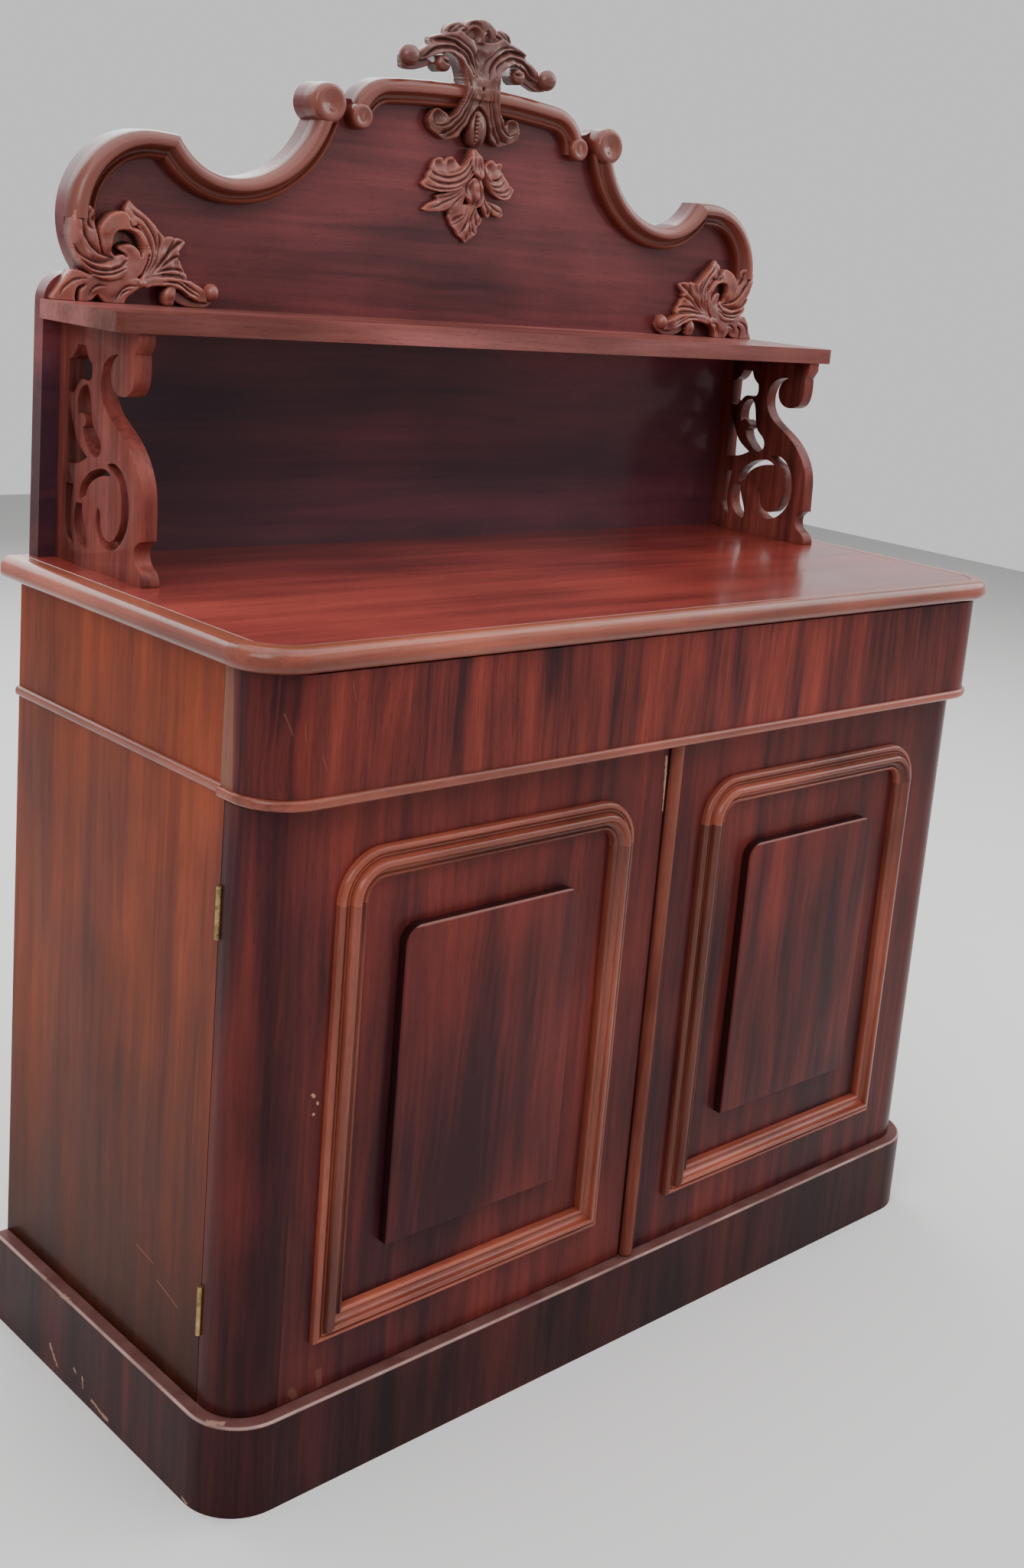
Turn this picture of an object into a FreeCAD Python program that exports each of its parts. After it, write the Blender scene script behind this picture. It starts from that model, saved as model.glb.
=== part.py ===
"""Victorian mahogany chiffonier sideboard: cupboard base, frieze drawer, shelf and carved back.

Millimetres. X runs left to right, the front faces -Y, Z is up and the floor is Z = 0.
The origin is under the middle of the whole piece.
"""
import FreeCAD, Part
import math
import os

V = FreeCAD.Vector
os.makedirs("parts", exist_ok=True)

# Carcase
CARCASE_WIDTH = 1118.0
CARCASE_DEPTH = 465.0
SIDE_THICK = 20.0
TOP_UNDERSIDE = 880.0
TOP_THICK = 24.0
BOTTOM_THICK = 18.0
BACK_THICK = 9.0
BACK_BOARD_COUNT = 4
RAIL_THICK = 18.0
RAIL_WIDTH = 60.0
RUNNER_WIDTH = 35.0
JOINT_GAP = 1.2
CORNER_RADIUS = 48.0

# Plinth
PLINTH_HEIGHT = 103.5
PLINTH_PROUD = 15.5
PLINTH_CORNER_RADIUS = 62.0
PLINTH_THICK = 22.0
PLINTH_ARRIS = 4.0
GLUE_BLOCK = 30.0
GLUE_BLOCK_HEIGHT = 60.0

# Top and its edge moulding
NOSE_SIDE = 24.0
NOSE_FRONT = 26.0
NOSE_CORNER_RADIUS = 58.0
NOSE_ROUND_TOP = 11.0
NOSE_ROUND_UNDER = 8.0
FIELD_FRONT_PROUD = 6.5
FIELD_CORNER_RADIUS = 40.0
GROOVE = 1.0

# Doors
DOOR_THICK = 25.0
DOOR_WRAP = 57.0
DOOR_TOP = 743.5
DOOR_GAP_BELOW = 1.5
POST_WIDTH = 60.0
MEETING_GAP = 4.0
MEETING_EDGE_LEFT = -12.5
BEAD_WIDTH = 18.0
BEAD_PROUD = 9.0
LEFT_FRAME_MARGIN = 95.0
RIGHT_FRAME_MARGIN = 101.0
LEFT_FRAME_INNER = 49.5
RIGHT_FRAME_INNER = 46.5
FRAME_LOW = 164.0
FRAME_HIGH = 693.5
FRAME_CORNER_RADIUS = 52.0
FRAME_SECTION_WIDTH = 33.0
PANEL_INSET_SIDE = 48.0
PANEL_INSET_END = 56.0
PANEL_THICK = 13.0
PANEL_CORNER_RADIUS = 20.0
PANEL_ARRIS = 2.5

# Hinges: brass butts with the knuckles on the side faces
HINGE_LENGTH = 54.0
HINGE_CENTRES = (208.8, 632.2)
PIN_PROUD = 1.2
PIN_RADIUS = 1.6
PIN_CLEARANCE = 0.05
KNUCKLE_RADIUS = 3.0
KNUCKLE_COUNT = 5
KNUCKLE_END_GAP = 0.2
KNUCKLE_RELIEF = 0.35
LEAF_THICK = 1.4
LEAF_WIDTH = 18.0
LEAF_OFFSET = 0.15
SCREW_RADIUS = 1.5
SCREW_HEAD_RADIUS = 3.0
SCREW_HEAD_DEPTH = 1.2
SCREW_LENGTH = 14.0
SCREWS_PER_LEAF = 3

# Frieze drawer
DRAWER_FRONT_LOW = 748.0
DRAWER_TOP_GAP = 1.5
DRAWER_PROUD_FRONT = 19.0
DRAWER_PROUD_SIDE = 6.0
DRAWER_CORNER_RADIUS = 54.0
DRAWER_FRONT_THICK = 42.0
DRAWER_SIDE_GAP = 1.5
DRAWER_SIDE_THICK = 11.0
DRAWER_SIDE_HEIGHT = 90.0
DRAWER_BACK_GAP = 25.0
DRAWER_BOTTOM_THICK = 8.0
DRAWER_BOTTOM_RISE = 6.0
RUNNER_CLEARANCE = 0.3
RAIL_LOW = 745.0
LIPPING_TOP = 13.0
LIPPING_FOOT = 21.0

# Half-round bead under the frieze
STRING_HEIGHT = 11.0
STRING_PROUD = 4.4
STRING_LET_IN = 3.0
STRING_LOW = 748.5
STRING_ROUND = 4.2

# Cupboard fittings
SHELF_LEVEL = 430.0
SHELF_THICK = 16.0
SHELF_SETBACK = 20.0
SHELF_CLEARANCE = 0.5
BATTEN = 20.0

# Superstructure
BOARD_THICK = 19.0
BOARD_HALF_WIDTH = 551.0
SHOULDER_HEIGHT = 301.0
SHOULDER_RADIUS = 31.0
UPPER_SHELF_HEIGHT = 252.0
UPPER_SHELF_THICK = 20.0
UPPER_SHELF_HALF = 555.0
UPPER_SHELF_DEPTH = 180.0
UPPER_SHELF_CORNER = 7.0
BRACKET_OUTER = 531.0
BRACKET_THICK = 19.0
BRACKET_SETBACK = 3.0
BRACKET_BLOCK = 11.0
DOWEL_RADIUS = 4.0
DOWEL_LENGTH = 30.0
DOWEL_SPACING = 480.0
SHELF_SCREW_RADIUS = 2.2
SHELF_SCREW_REACH = 30.0
SHELF_SCREW_SPACING = 300.0
SHELF_SCREW_COUNT = 4
BRACKET_DOWEL_DEPTHS = (31.0, 130.0)

# Serpentine crest: centre (across, up from the top) and radius of each arc of the right half
LOBE_CENTRE = (437.0, 360.0)
LOBE_RADIUS = 94.0
LOBE_TOP_RADIUS = 300.0
SWAG_OUTER_CENTRE = (341.0, 495.5)
SWAG_OUTER_RADIUS = 80.0
SWAG_INNER_CENTRE = (341.0, 531.5)
SWAG_INNER_RADIUS = 116.0
KNOB_CENTRE = (221.0, 508.0)
KNOB_RADIUS = 23.0
ARCH_TOP = 554.5
ARCH_RADIUS = 1200.0
ARCH_END_RADIUS = 56.0
ARCH_END_ACROSS = 134.0
EYE_CENTRE = (172.0, 499.0)
EYE_RADIUS = 15.0
VALLEY_START_ANGLE = 130.0
VALLEY_END_ANGLE = 28.0
VALLEY_DIP = 3.0
LOBE_OVERRUN = 10.0
SWAG_OVERRUN = 30.0
KNOB_OVERRUN = 8.0
CREST_SECTION_WIDTH = 30.0
BOSS_RIM = 3.0
BOSS_PROUD = 1.5
CREST_RIDGE = 24.0
ARCH_RIDGE = 18.0
CARVING_PROUD = 27.0
CARVING_BEHIND = 12.0

# Derived places
HALF = CARCASE_WIDTH / 2
BACK_Y = (CARCASE_DEPTH + NOSE_FRONT) / 2
FACE_Y = BACK_Y - CARCASE_DEPTH
SIDE_FRONT_Y = FACE_Y + DOOR_WRAP
TOP_Z = TOP_UNDERSIDE + TOP_THICK
INSIDE = HALF - SIDE_THICK
DOOR_LOW = PLINTH_HEIGHT + DOOR_GAP_BELOW
MEETING_EDGE_RIGHT = MEETING_EDGE_LEFT + MEETING_GAP
BACK_FACE_Y = BACK_Y - BACK_THICK
RAIL_TOP = RAIL_LOW + RAIL_THICK
BOARD_FACE_Y = BACK_Y - BOARD_THICK
UPPER_SHELF_TOP = UPPER_SHELF_HEIGHT + UPPER_SHELF_THICK
RETURN_Y = SIDE_FRONT_Y - JOINT_GAP


def save(shape, node):
    shape.exportStep("parts/" + node + ".step")


def box(x0, x1, y0, y1, z0, z1):
    return Part.makeBox(x1 - x0, y1 - y0, z1 - z0, V(x0, y0, z0))


def mirrored(shape):
    return shape.mirror(V(0, 0, 0), V(1, 0, 0))


def group(shapes):
    return Part.makeCompound(list(shapes))


def line(a, b):
    return Part.LineSegment(a, b).toShape()


def arc(a, middle, b):
    return Part.Arc(a, middle, b).toShape()


def prism(wire, direction):
    return Part.Face(wire).extrude(direction)


def spline(points):
    curve = Part.BSplineCurve()
    curve.interpolate(points)
    return curve.toShape()


def plan(half_width, front_y, back_y, radius):
    """Outline seen from above: square at the back, rounded at the two front corners."""
    turn = radius * (1 - math.sqrt(0.5))
    return Part.Wire([
        line(V(half_width, back_y, 0), V(-half_width, back_y, 0)),
        line(V(-half_width, back_y, 0), V(-half_width, front_y + radius, 0)),
        arc(V(-half_width, front_y + radius, 0), V(-half_width + turn, front_y + turn, 0),
            V(-half_width + radius, front_y, 0)),
        line(V(-half_width + radius, front_y, 0), V(half_width - radius, front_y, 0)),
        arc(V(half_width - radius, front_y, 0), V(half_width - turn, front_y + turn, 0),
            V(half_width, front_y + radius, 0)),
        line(V(half_width, front_y + radius, 0), V(half_width, back_y, 0)),
    ])


def slab(half_width, front_y, back_y, radius, low, high):
    solid = prism(plan(half_width, front_y, back_y, radius), V(0, 0, high - low))
    return solid.translated(V(0, 0, low))


def level_edges(solid, level, back_y):
    """Edges lying at one level, all but the one along the back."""
    found = []
    for edge in solid.Edges:
        bounds = edge.BoundBox
        flat = abs(bounds.ZMin - level) < 0.01 and abs(bounds.ZMax - level) < 0.01
        if flat and bounds.YMin < back_y - 1:
            found.append(edge)
    return found


def section_wire(points, origin, across, outward):
    """Closed section: 'points' holds (across, outward) pairs; a pair of pairs is an arc."""
    def place(pair):
        return origin + across * pair[0] + outward * pair[1]
    edges = []
    here = points[0]
    for step in points[1:]:
        if isinstance(step[0], tuple):
            edges.append(arc(place(here), place(step[0]), place(step[1])))
            here = step[1]
        else:
            edges.append(line(place(here), place(step)))
            here = step
    edges.append(line(place(here), place(points[0])))
    return Part.Wire(edges)


# Carcase

def make_sides():
    low = PLINTH_HEIGHT
    left = box(-HALF, -INSIDE, SIDE_FRONT_Y, BACK_Y, low, TOP_UNDERSIDE)
    left = left.cut(hinge_relief(-1, carcase=True))
    save(left, "left_side")
    save(mirrored(left), "right_side")
    bead = box(-HALF - STRING_PROUD, -HALF, SIDE_FRONT_Y, BACK_Y, STRING_LOW, STRING_LOW + STRING_HEIGHT)
    outer = [e for e in bead.Edges if e.BoundBox.XMax < -HALF - 1 and e.Length > CARCASE_DEPTH / 2]
    bead = bead.makeFillet(STRING_ROUND, outer)
    save(bead, "side_bead_left")
    save(mirrored(bead), "side_bead_right")


def make_boards():
    bottom = box(-HALF - PLINTH_PROUD + PLINTH_THICK, HALF + PLINTH_PROUD - PLINTH_THICK,
                 FACE_Y - PLINTH_PROUD + PLINTH_THICK, BACK_Y - PLINTH_THICK,
                 PLINTH_HEIGHT - BOTTOM_THICK, PLINTH_HEIGHT)
    save(bottom.common(plinth_inside(0)), "bottom_board")
    width = 2 * INSIDE / BACK_BOARD_COUNT
    boards = []
    for i in range(BACK_BOARD_COUNT):
        x = -INSIDE + i * width
        boards.append(box(x, x + width, BACK_FACE_Y, BACK_Y, PLINTH_HEIGHT, TOP_UNDERSIDE))
    save(group(boards), "back_boards")
    lip_half = HALF - POST_WIDTH - 2 * JOINT_GAP
    rail = box(-INSIDE, INSIDE, SIDE_FRONT_Y, SIDE_FRONT_Y + RAIL_WIDTH, RAIL_LOW, RAIL_TOP)
    lip = box(-lip_half, lip_half, FACE_Y + DOOR_THICK + JOINT_GAP, SIDE_FRONT_Y, RAIL_LOW, RAIL_TOP)
    save(rail.fuse(lip).removeSplitter(), "drawer_rail")
    save(box(-INSIDE, INSIDE, SIDE_FRONT_Y, SIDE_FRONT_Y + RAIL_WIDTH,
             TOP_UNDERSIDE - RAIL_THICK, TOP_UNDERSIDE), "top_rail_front")
    save(box(-INSIDE, INSIDE, BACK_FACE_Y - RAIL_WIDTH, BACK_FACE_Y,
             TOP_UNDERSIDE - RAIL_THICK, TOP_UNDERSIDE), "top_rail_back")
    runner = box(-INSIDE, -INSIDE + RUNNER_WIDTH, SIDE_FRONT_Y + RAIL_WIDTH, BACK_FACE_Y, RAIL_LOW, RAIL_TOP)
    save(group([runner, mirrored(runner)]), "drawer_runners")
    kicker = box(-INSIDE, -INSIDE + RUNNER_WIDTH, SIDE_FRONT_Y + RAIL_WIDTH, BACK_FACE_Y - RAIL_WIDTH,
                 TOP_UNDERSIDE - RAIL_THICK, TOP_UNDERSIDE)
    save(group([kicker, mirrored(kicker)]), "drawer_kickers")


def make_inner_shelf():
    front = SIDE_FRONT_Y + SHELF_SETBACK
    save(box(-INSIDE + SHELF_CLEARANCE, INSIDE - SHELF_CLEARANCE, front, BACK_FACE_Y - SHELF_CLEARANCE,
             SHELF_LEVEL, SHELF_LEVEL + SHELF_THICK), "interior_shelf")
    batten = box(-INSIDE, -INSIDE + BATTEN, front + BATTEN, BACK_FACE_Y, SHELF_LEVEL - BATTEN, SHELF_LEVEL)
    save(group([batten, mirrored(batten)]), "shelf_battens")


# Plinth

def plinth_inside(clearance):
    inset = PLINTH_THICK + clearance
    return slab(HALF + PLINTH_PROUD - inset, FACE_Y - PLINTH_PROUD + inset, BACK_Y - inset,
                PLINTH_CORNER_RADIUS - PLINTH_THICK, 0, PLINTH_HEIGHT)


def make_plinth():
    front_y = FACE_Y - PLINTH_PROUD
    half = HALF + PLINTH_PROUD
    whole = slab(half, front_y, BACK_Y, PLINTH_CORNER_RADIUS, 0, PLINTH_HEIGHT)
    whole = whole.makeFillet(PLINTH_ARRIS, level_edges(whole, PLINTH_HEIGHT, BACK_Y))
    ring = whole.cut(plinth_inside(0))
    split_y = front_y + PLINTH_CORNER_RADIUS
    reach = 2 * half
    save(ring.common(box(-reach, reach, front_y - 1, split_y, -1, reach)), "plinth_front")
    left = ring.common(box(-reach, -half + PLINTH_THICK, split_y, BACK_Y + 1, -1, reach))
    save(left, "plinth_left")
    save(mirrored(left), "plinth_right")
    save(box(-half + PLINTH_THICK, half - PLINTH_THICK, BACK_Y - PLINTH_THICK, BACK_Y, 0, PLINTH_HEIGHT),
         "plinth_back")
    blocks = []
    x = half - PLINTH_THICK
    top = PLINTH_HEIGHT - BOTTOM_THICK
    for side in (-1, 1):
        for y in (split_y, BACK_Y - PLINTH_THICK - GLUE_BLOCK):
            x0 = min(side * x, side * (x - GLUE_BLOCK))
            blocks.append(box(x0, x0 + GLUE_BLOCK, y, y + GLUE_BLOCK, top - GLUE_BLOCK_HEIGHT, top))
    save(group(blocks), "glue_blocks")


# Top

def make_top():
    front_y = FACE_Y - NOSE_FRONT
    half = HALF + NOSE_SIDE
    whole = slab(half, front_y, BACK_Y, NOSE_CORNER_RADIUS, TOP_UNDERSIDE, TOP_Z)
    whole = whole.makeFillet(NOSE_ROUND_TOP, level_edges(whole, TOP_Z, BACK_Y))
    whole = whole.makeFillet(NOSE_ROUND_UNDER, level_edges(whole, TOP_UNDERSIDE, BACK_Y))
    field = slab(HALF, FACE_Y - FIELD_FRONT_PROUD, BACK_Y, FIELD_CORNER_RADIUS, TOP_UNDERSIDE, TOP_Z)
    groove = slab(HALF + GROOVE, FACE_Y - FIELD_FRONT_PROUD - GROOVE, BACK_Y + 1,
                  FIELD_CORNER_RADIUS + GROOVE, TOP_Z - GROOVE, TOP_Z + 1)
    ring = whole.cut(field).cut(groove)
    field = field.makeChamfer(GROOVE, level_edges(field, TOP_Z, BACK_Y))
    save(field.cut(dowel_set("board")).cut(dowel_set("bracket")), "top_board")
    split_y = front_y + NOSE_CORNER_RADIUS
    reach = 2 * half
    save(ring.common(box(-reach, reach, front_y - 1, split_y, 0, reach)), "top_moulding_front")
    left = ring.common(box(-reach, 0, split_y, BACK_Y + 1, 0, reach))
    save(left, "top_moulding_left")
    save(mirrored(left), "top_moulding_right")


# Drawer

def drawer_plan(extra, low, high):
    return slab(HALF + DRAWER_PROUD_SIDE + extra, FACE_Y - DRAWER_PROUD_FRONT - extra, RETURN_Y,
                DRAWER_CORNER_RADIUS + extra, low, high)


def make_drawer():
    high = TOP_UNDERSIDE - DRAWER_TOP_GAP
    side_out = INSIDE - DRAWER_SIDE_GAP
    side_in = side_out - DRAWER_SIDE_THICK
    front_back_y = FACE_Y - DRAWER_PROUD_FRONT + DRAWER_FRONT_THICK
    front = drawer_plan(0, DRAWER_FRONT_LOW, high)
    front = front.cut(box(-side_in, side_in, front_back_y, RETURN_Y + 1, 0, 2 * high))
    bead_high = STRING_LOW + STRING_HEIGHT
    bead = drawer_plan(STRING_PROUD, STRING_LOW, bead_high)
    for level in (STRING_LOW, bead_high):
        bead = bead.makeFillet(STRING_ROUND, level_edges(bead, level, RETURN_Y))
    bead = bead.cut(drawer_plan(-STRING_LET_IN, STRING_LOW - 1, bead_high + 1))
    front = front.cut(bead)
    rise = high - DRAWER_FRONT_LOW
    wedge = Part.makePolygon([V(-HALF * 2, RETURN_Y + 1, DRAWER_FRONT_LOW),
                              V(-HALF * 2, RETURN_Y - LIPPING_FOOT, DRAWER_FRONT_LOW),
                              V(-HALF * 2, RETURN_Y - LIPPING_TOP, DRAWER_FRONT_LOW + rise),
                              V(-HALF * 2, RETURN_Y + 1, DRAWER_FRONT_LOW + rise),
                              V(-HALF * 2, RETURN_Y + 1, DRAWER_FRONT_LOW)])
    wedge = prism(wedge, V(HALF * 2 - side_in, 0, 0))
    lipping = front.common(wedge)
    front = front.cut(wedge).cut(mirrored(wedge))
    save(front, "drawer_front")
    save(bead, "drawer_bead")
    save(lipping, "drawer_lipping_left")
    save(mirrored(lipping), "drawer_lipping_right")
    low = RAIL_TOP + RUNNER_CLEARANCE
    back_y = BACK_FACE_Y - DRAWER_BACK_GAP
    side = box(-side_out, -side_in, RETURN_Y, back_y, low, low + DRAWER_SIDE_HEIGHT)
    save(side, "drawer_side_left")
    save(mirrored(side), "drawer_side_right")
    bottom_low = low + DRAWER_BOTTOM_RISE
    bottom_high = bottom_low + DRAWER_BOTTOM_THICK
    save(box(-side_in, side_in, front_back_y, back_y, bottom_low, bottom_high), "drawer_bottom")
    save(box(-side_in, side_in, back_y - DRAWER_SIDE_THICK, back_y, bottom_high, low + DRAWER_SIDE_HEIGHT),
         "drawer_back")


# Hinges

def hinge_axis(side):
    return V(side * (HALF + PIN_PROUD), SIDE_FRONT_Y - JOINT_GAP / 2, 0)


def hinge_relief(side, carcase):
    """Space cut from the timber for the leaves, knuckles and screws of one body."""
    axis = hinge_axis(side)
    cuts = []
    for centre in HINGE_CENTRES:
        low = centre - HINGE_LENGTH / 2
        cuts.append(Part.makeCylinder(KNUCKLE_RADIUS + KNUCKLE_RELIEF, HINGE_LENGTH, V(axis.x, axis.y, low)))
        cuts.append(leaf_plate(side, low, HINGE_LENGTH, carcase))
        cuts.extend(leaf_screws(side, centre, carcase))
    return group(cuts)


def leaf_plate(side, low, length, carcase):
    axis = hinge_axis(side)
    x = sorted((axis.x, axis.x - side * (LEAF_WIDTH + KNUCKLE_RADIUS)))
    if carcase:
        y = (axis.y + LEAF_OFFSET, axis.y + LEAF_OFFSET + LEAF_THICK)
    else:
        y = (axis.y - LEAF_OFFSET - LEAF_THICK, axis.y - LEAF_OFFSET)
    return box(x[0], x[1], y[0], y[1], low, low + length)


def leaf_screws(side, centre, carcase):
    axis = hinge_axis(side)
    away = V(0, 1, 0) if carcase else V(0, -1, 0)
    x = axis.x - side * (KNUCKLE_RADIUS + LEAF_WIDTH / 2)
    pitch = HINGE_LENGTH / SCREWS_PER_LEAF
    screws = []
    for i in range(SCREWS_PER_LEAF):
        z = centre + (i - (SCREWS_PER_LEAF - 1) / 2) * pitch
        head = V(x, axis.y, z) + away * LEAF_OFFSET
        cone = Part.makeCone(SCREW_HEAD_RADIUS, SCREW_RADIUS, SCREW_HEAD_DEPTH, head, away)
        shank = Part.makeCylinder(SCREW_RADIUS, SCREW_LENGTH, head, away)
        screws.append(cone.fuse(shank).removeSplitter())
    return screws


def make_leaf(side, centre, carcase):
    axis = hinge_axis(side)
    low = centre - HINGE_LENGTH / 2
    pitch = HINGE_LENGTH / KNUCKLE_COUNT
    plate = leaf_plate(side, low, HINGE_LENGTH, carcase)
    own = 0 if carcase else 1
    clear = KNUCKLE_RADIUS + KNUCKLE_RELIEF
    leaf = plate
    for i in range(KNUCKLE_COUNT):
        z = low + i * pitch
        if i % 2 == own:
            foot = V(axis.x, axis.y, z + KNUCKLE_END_GAP / 2)
            leaf = leaf.fuse(Part.makeCylinder(KNUCKLE_RADIUS, pitch - KNUCKLE_END_GAP, foot))
        else:
            leaf = leaf.cut(Part.makeCylinder(clear, pitch, V(axis.x, axis.y, z)))
    bore = Part.makeCylinder(PIN_RADIUS + PIN_CLEARANCE, HINGE_LENGTH + 2, V(axis.x, axis.y, low - 1))
    leaf = leaf.cut(bore)
    for screw in leaf_screws(side, centre, carcase):
        leaf = leaf.cut(screw)
    return leaf.removeSplitter()


def make_hinges():
    carcase_leaves = []
    carcase_screws = []
    pins = []
    for side, name in ((-1, "left"), (1, "right")):
        axis = hinge_axis(side)
        door_leaves = []
        door_screws = []
        for centre in HINGE_CENTRES:
            carcase_leaves.append(make_leaf(side, centre, True))
            door_leaves.append(make_leaf(side, centre, False))
            carcase_screws.extend(leaf_screws(side, centre, True))
            door_screws.extend(leaf_screws(side, centre, False))
            foot = V(axis.x, axis.y, centre - HINGE_LENGTH / 2)
            pins.append(Part.makeCylinder(PIN_RADIUS, HINGE_LENGTH, foot))
        save(group(door_leaves), name + "_door_hinge_leaves")
        save(group(door_screws), name + "_door_hinge_screws")
    save(group(carcase_leaves), "carcase_hinge_leaves")
    save(group(carcase_screws), "carcase_hinge_screws")
    save(group(pins), "hinge_pins")


# Doors

DOOR_SECTION = [(0, 0), (0, 5.0), ((1.6, 7.8), (5.0, 8.8)), (6.6, 8.2), (6.9, 6.6), (7.7, 6.6),
                ((9.0, 8.6), (10.3, 6.8)), (11.0, 6.8), ((12.8, 14.2), (17.4, 16.5)), (18.8, 16.3),
                ((20.8, 9.8), (25.6, 7.0)), (26.6, 7.0), ((29.4, 10.2), (32.2, 7.0)),
                (FRAME_SECTION_WIDTH, 5.6), (FRAME_SECTION_WIDTH, 0)]


def frame_bar(start, end, inward):
    """Straight run of the door moulding; the section's across direction is 'inward'."""
    wire = section_wire(DOOR_SECTION, start, inward, V(0, -1, 0))
    return prism(wire, end - start)


def frame_corner(centre, from_angle, sweep):
    """Rounded corner of the door moulding, turned about an axis square to the door."""
    start = V(centre.x + FRAME_CORNER_RADIUS, centre.y, centre.z)
    wire = section_wire(DOOR_SECTION, start, V(-1, 0, 0), V(0, -1, 0))
    face = Part.Face(wire)
    face.rotate(centre, V(0, -1, 0), from_angle)
    return face.revolve(centre, V(0, -1, 0), sweep)


def mitre_block(corner, side):
    """Half space, as a big prism, on the upright's side of a bottom mitre."""
    reach = CARCASE_WIDTH
    points = [corner, corner + V(side * reach, 0, reach), corner + V(-side * reach, 0, reach), corner]
    wire = Part.makePolygon([p + V(0, PANEL_THICK, 0) for p in points])
    return prism(wire, V(0, -4 * PANEL_THICK, 0))


def make_frame(left_x, right_x):
    turn_z = FRAME_HIGH - FRAME_CORNER_RADIUS
    turn_left = left_x + FRAME_CORNER_RADIUS
    turn_right = right_x - FRAME_CORNER_RADIUS
    top = frame_bar(V(turn_left, FACE_Y, FRAME_HIGH), V(turn_right, FACE_Y, FRAME_HIGH), V(0, 0, -1))
    top = top.fuse(frame_corner(V(turn_left, FACE_Y, turn_z), 90, 90))
    top = top.fuse(frame_corner(V(turn_right, FACE_Y, turn_z), 0, 90))
    pieces = [top]
    low_left = V(left_x, FACE_Y, FRAME_LOW)
    low_right = V(right_x, FACE_Y, FRAME_LOW)
    left = frame_bar(low_left, V(left_x, FACE_Y, turn_z), V(1, 0, 0))
    right = frame_bar(low_right, V(right_x, FACE_Y, turn_z), V(-1, 0, 0))
    foot = frame_bar(low_left, low_right, V(0, 0, 1))
    pieces.append(left.common(mitre_block(low_left, 1)))
    pieces.append(right.common(mitre_block(low_right, -1)))
    pieces.append(foot.cut(mitre_block(low_left, 1)).cut(mitre_block(low_right, -1)))
    return group(pieces)


def make_panel(left_x, right_x):
    """Raised field planted inside the moulding, with rounded top corners."""
    x0 = left_x + FRAME_SECTION_WIDTH + PANEL_INSET_SIDE
    x1 = right_x - FRAME_SECTION_WIDTH - PANEL_INSET_SIDE
    z0 = FRAME_LOW + FRAME_SECTION_WIDTH + PANEL_INSET_END
    z1 = FRAME_HIGH - FRAME_SECTION_WIDTH - PANEL_INSET_END
    panel = box(x0, x1, FACE_Y - PANEL_THICK, FACE_Y, z0, z1)
    corners = []
    for edge in panel.Edges:
        bounds = edge.BoundBox
        if bounds.YLength > PANEL_THICK / 2 and bounds.ZMin > z1 - 1:
            corners.append(edge)
    panel = panel.makeFillet(PANEL_CORNER_RADIUS, corners)
    front = [e for e in panel.Edges if e.BoundBox.YMax < FACE_Y - PANEL_THICK + 0.01]
    return panel.makeFillet(PANEL_ARRIS, front)


def make_post(side):
    """Rounded corner post of a door, with the return that meets the carcase side."""
    turn = CORNER_RADIUS * (1 - math.sqrt(0.5))
    inner = HALF - POST_WIDTH
    wire = Part.Wire([
        line(V(-HALF, RETURN_Y, DOOR_LOW), V(-HALF, FACE_Y + CORNER_RADIUS, DOOR_LOW)),
        arc(V(-HALF, FACE_Y + CORNER_RADIUS, DOOR_LOW), V(-HALF + turn, FACE_Y + turn, DOOR_LOW),
            V(-HALF + CORNER_RADIUS, FACE_Y, DOOR_LOW)),
        line(V(-HALF + CORNER_RADIUS, FACE_Y, DOOR_LOW), V(-inner, FACE_Y, DOOR_LOW)),
        line(V(-inner, FACE_Y, DOOR_LOW), V(-inner, RETURN_Y, DOOR_LOW)),
        line(V(-inner, RETURN_Y, DOOR_LOW), V(-HALF, RETURN_Y, DOOR_LOW)),
    ])
    post = prism(wire, V(0, 0, DOOR_TOP - DOOR_LOW))
    if side > 0:
        post = mirrored(post)
    return post.cut(hinge_relief(side, carcase=False))


def make_doors():
    inner = HALF - POST_WIDTH
    save(make_post(-1), "left_door_post")
    save(make_post(1), "right_door_post")
    save(box(-inner, MEETING_EDGE_LEFT, FACE_Y, FACE_Y + DOOR_THICK, DOOR_LOW, DOOR_TOP), "left_door")
    save(box(MEETING_EDGE_RIGHT, inner, FACE_Y, FACE_Y + DOOR_THICK, DOOR_LOW, DOOR_TOP), "right_door")
    left = (-HALF + LEFT_FRAME_MARGIN, MEETING_EDGE_LEFT - LEFT_FRAME_INNER)
    right = (MEETING_EDGE_RIGHT + BEAD_WIDTH + RIGHT_FRAME_INNER, HALF - RIGHT_FRAME_MARGIN)
    save(make_frame(*left), "left_door_moulding")
    save(make_frame(*right), "right_door_moulding")
    save(make_panel(*left), "left_door_panel")
    save(make_panel(*right), "right_door_panel")
    start = V(MEETING_EDGE_RIGHT, FACE_Y, DOOR_LOW)
    middle = start + V(BEAD_WIDTH / 2, -BEAD_PROUD, 0)
    end = start + V(BEAD_WIDTH, 0, 0)
    bead = Part.Wire([arc(start, middle, end), line(end, start)])
    save(prism(bead, V(0, 0, DOOR_TOP - DOOR_LOW)), "meeting_bead")


# Superstructure

def up(across, height, y):
    return V(across, y, TOP_Z + height)


def on_circle(centre, radius, degrees):
    angle = math.radians(degrees)
    return (centre[0] + radius * math.cos(angle), centre[1] + radius * math.sin(angle))


def angle_at(centre, point):
    return math.degrees(math.atan2(point[1] - centre[1], point[0] - centre[0]))


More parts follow.
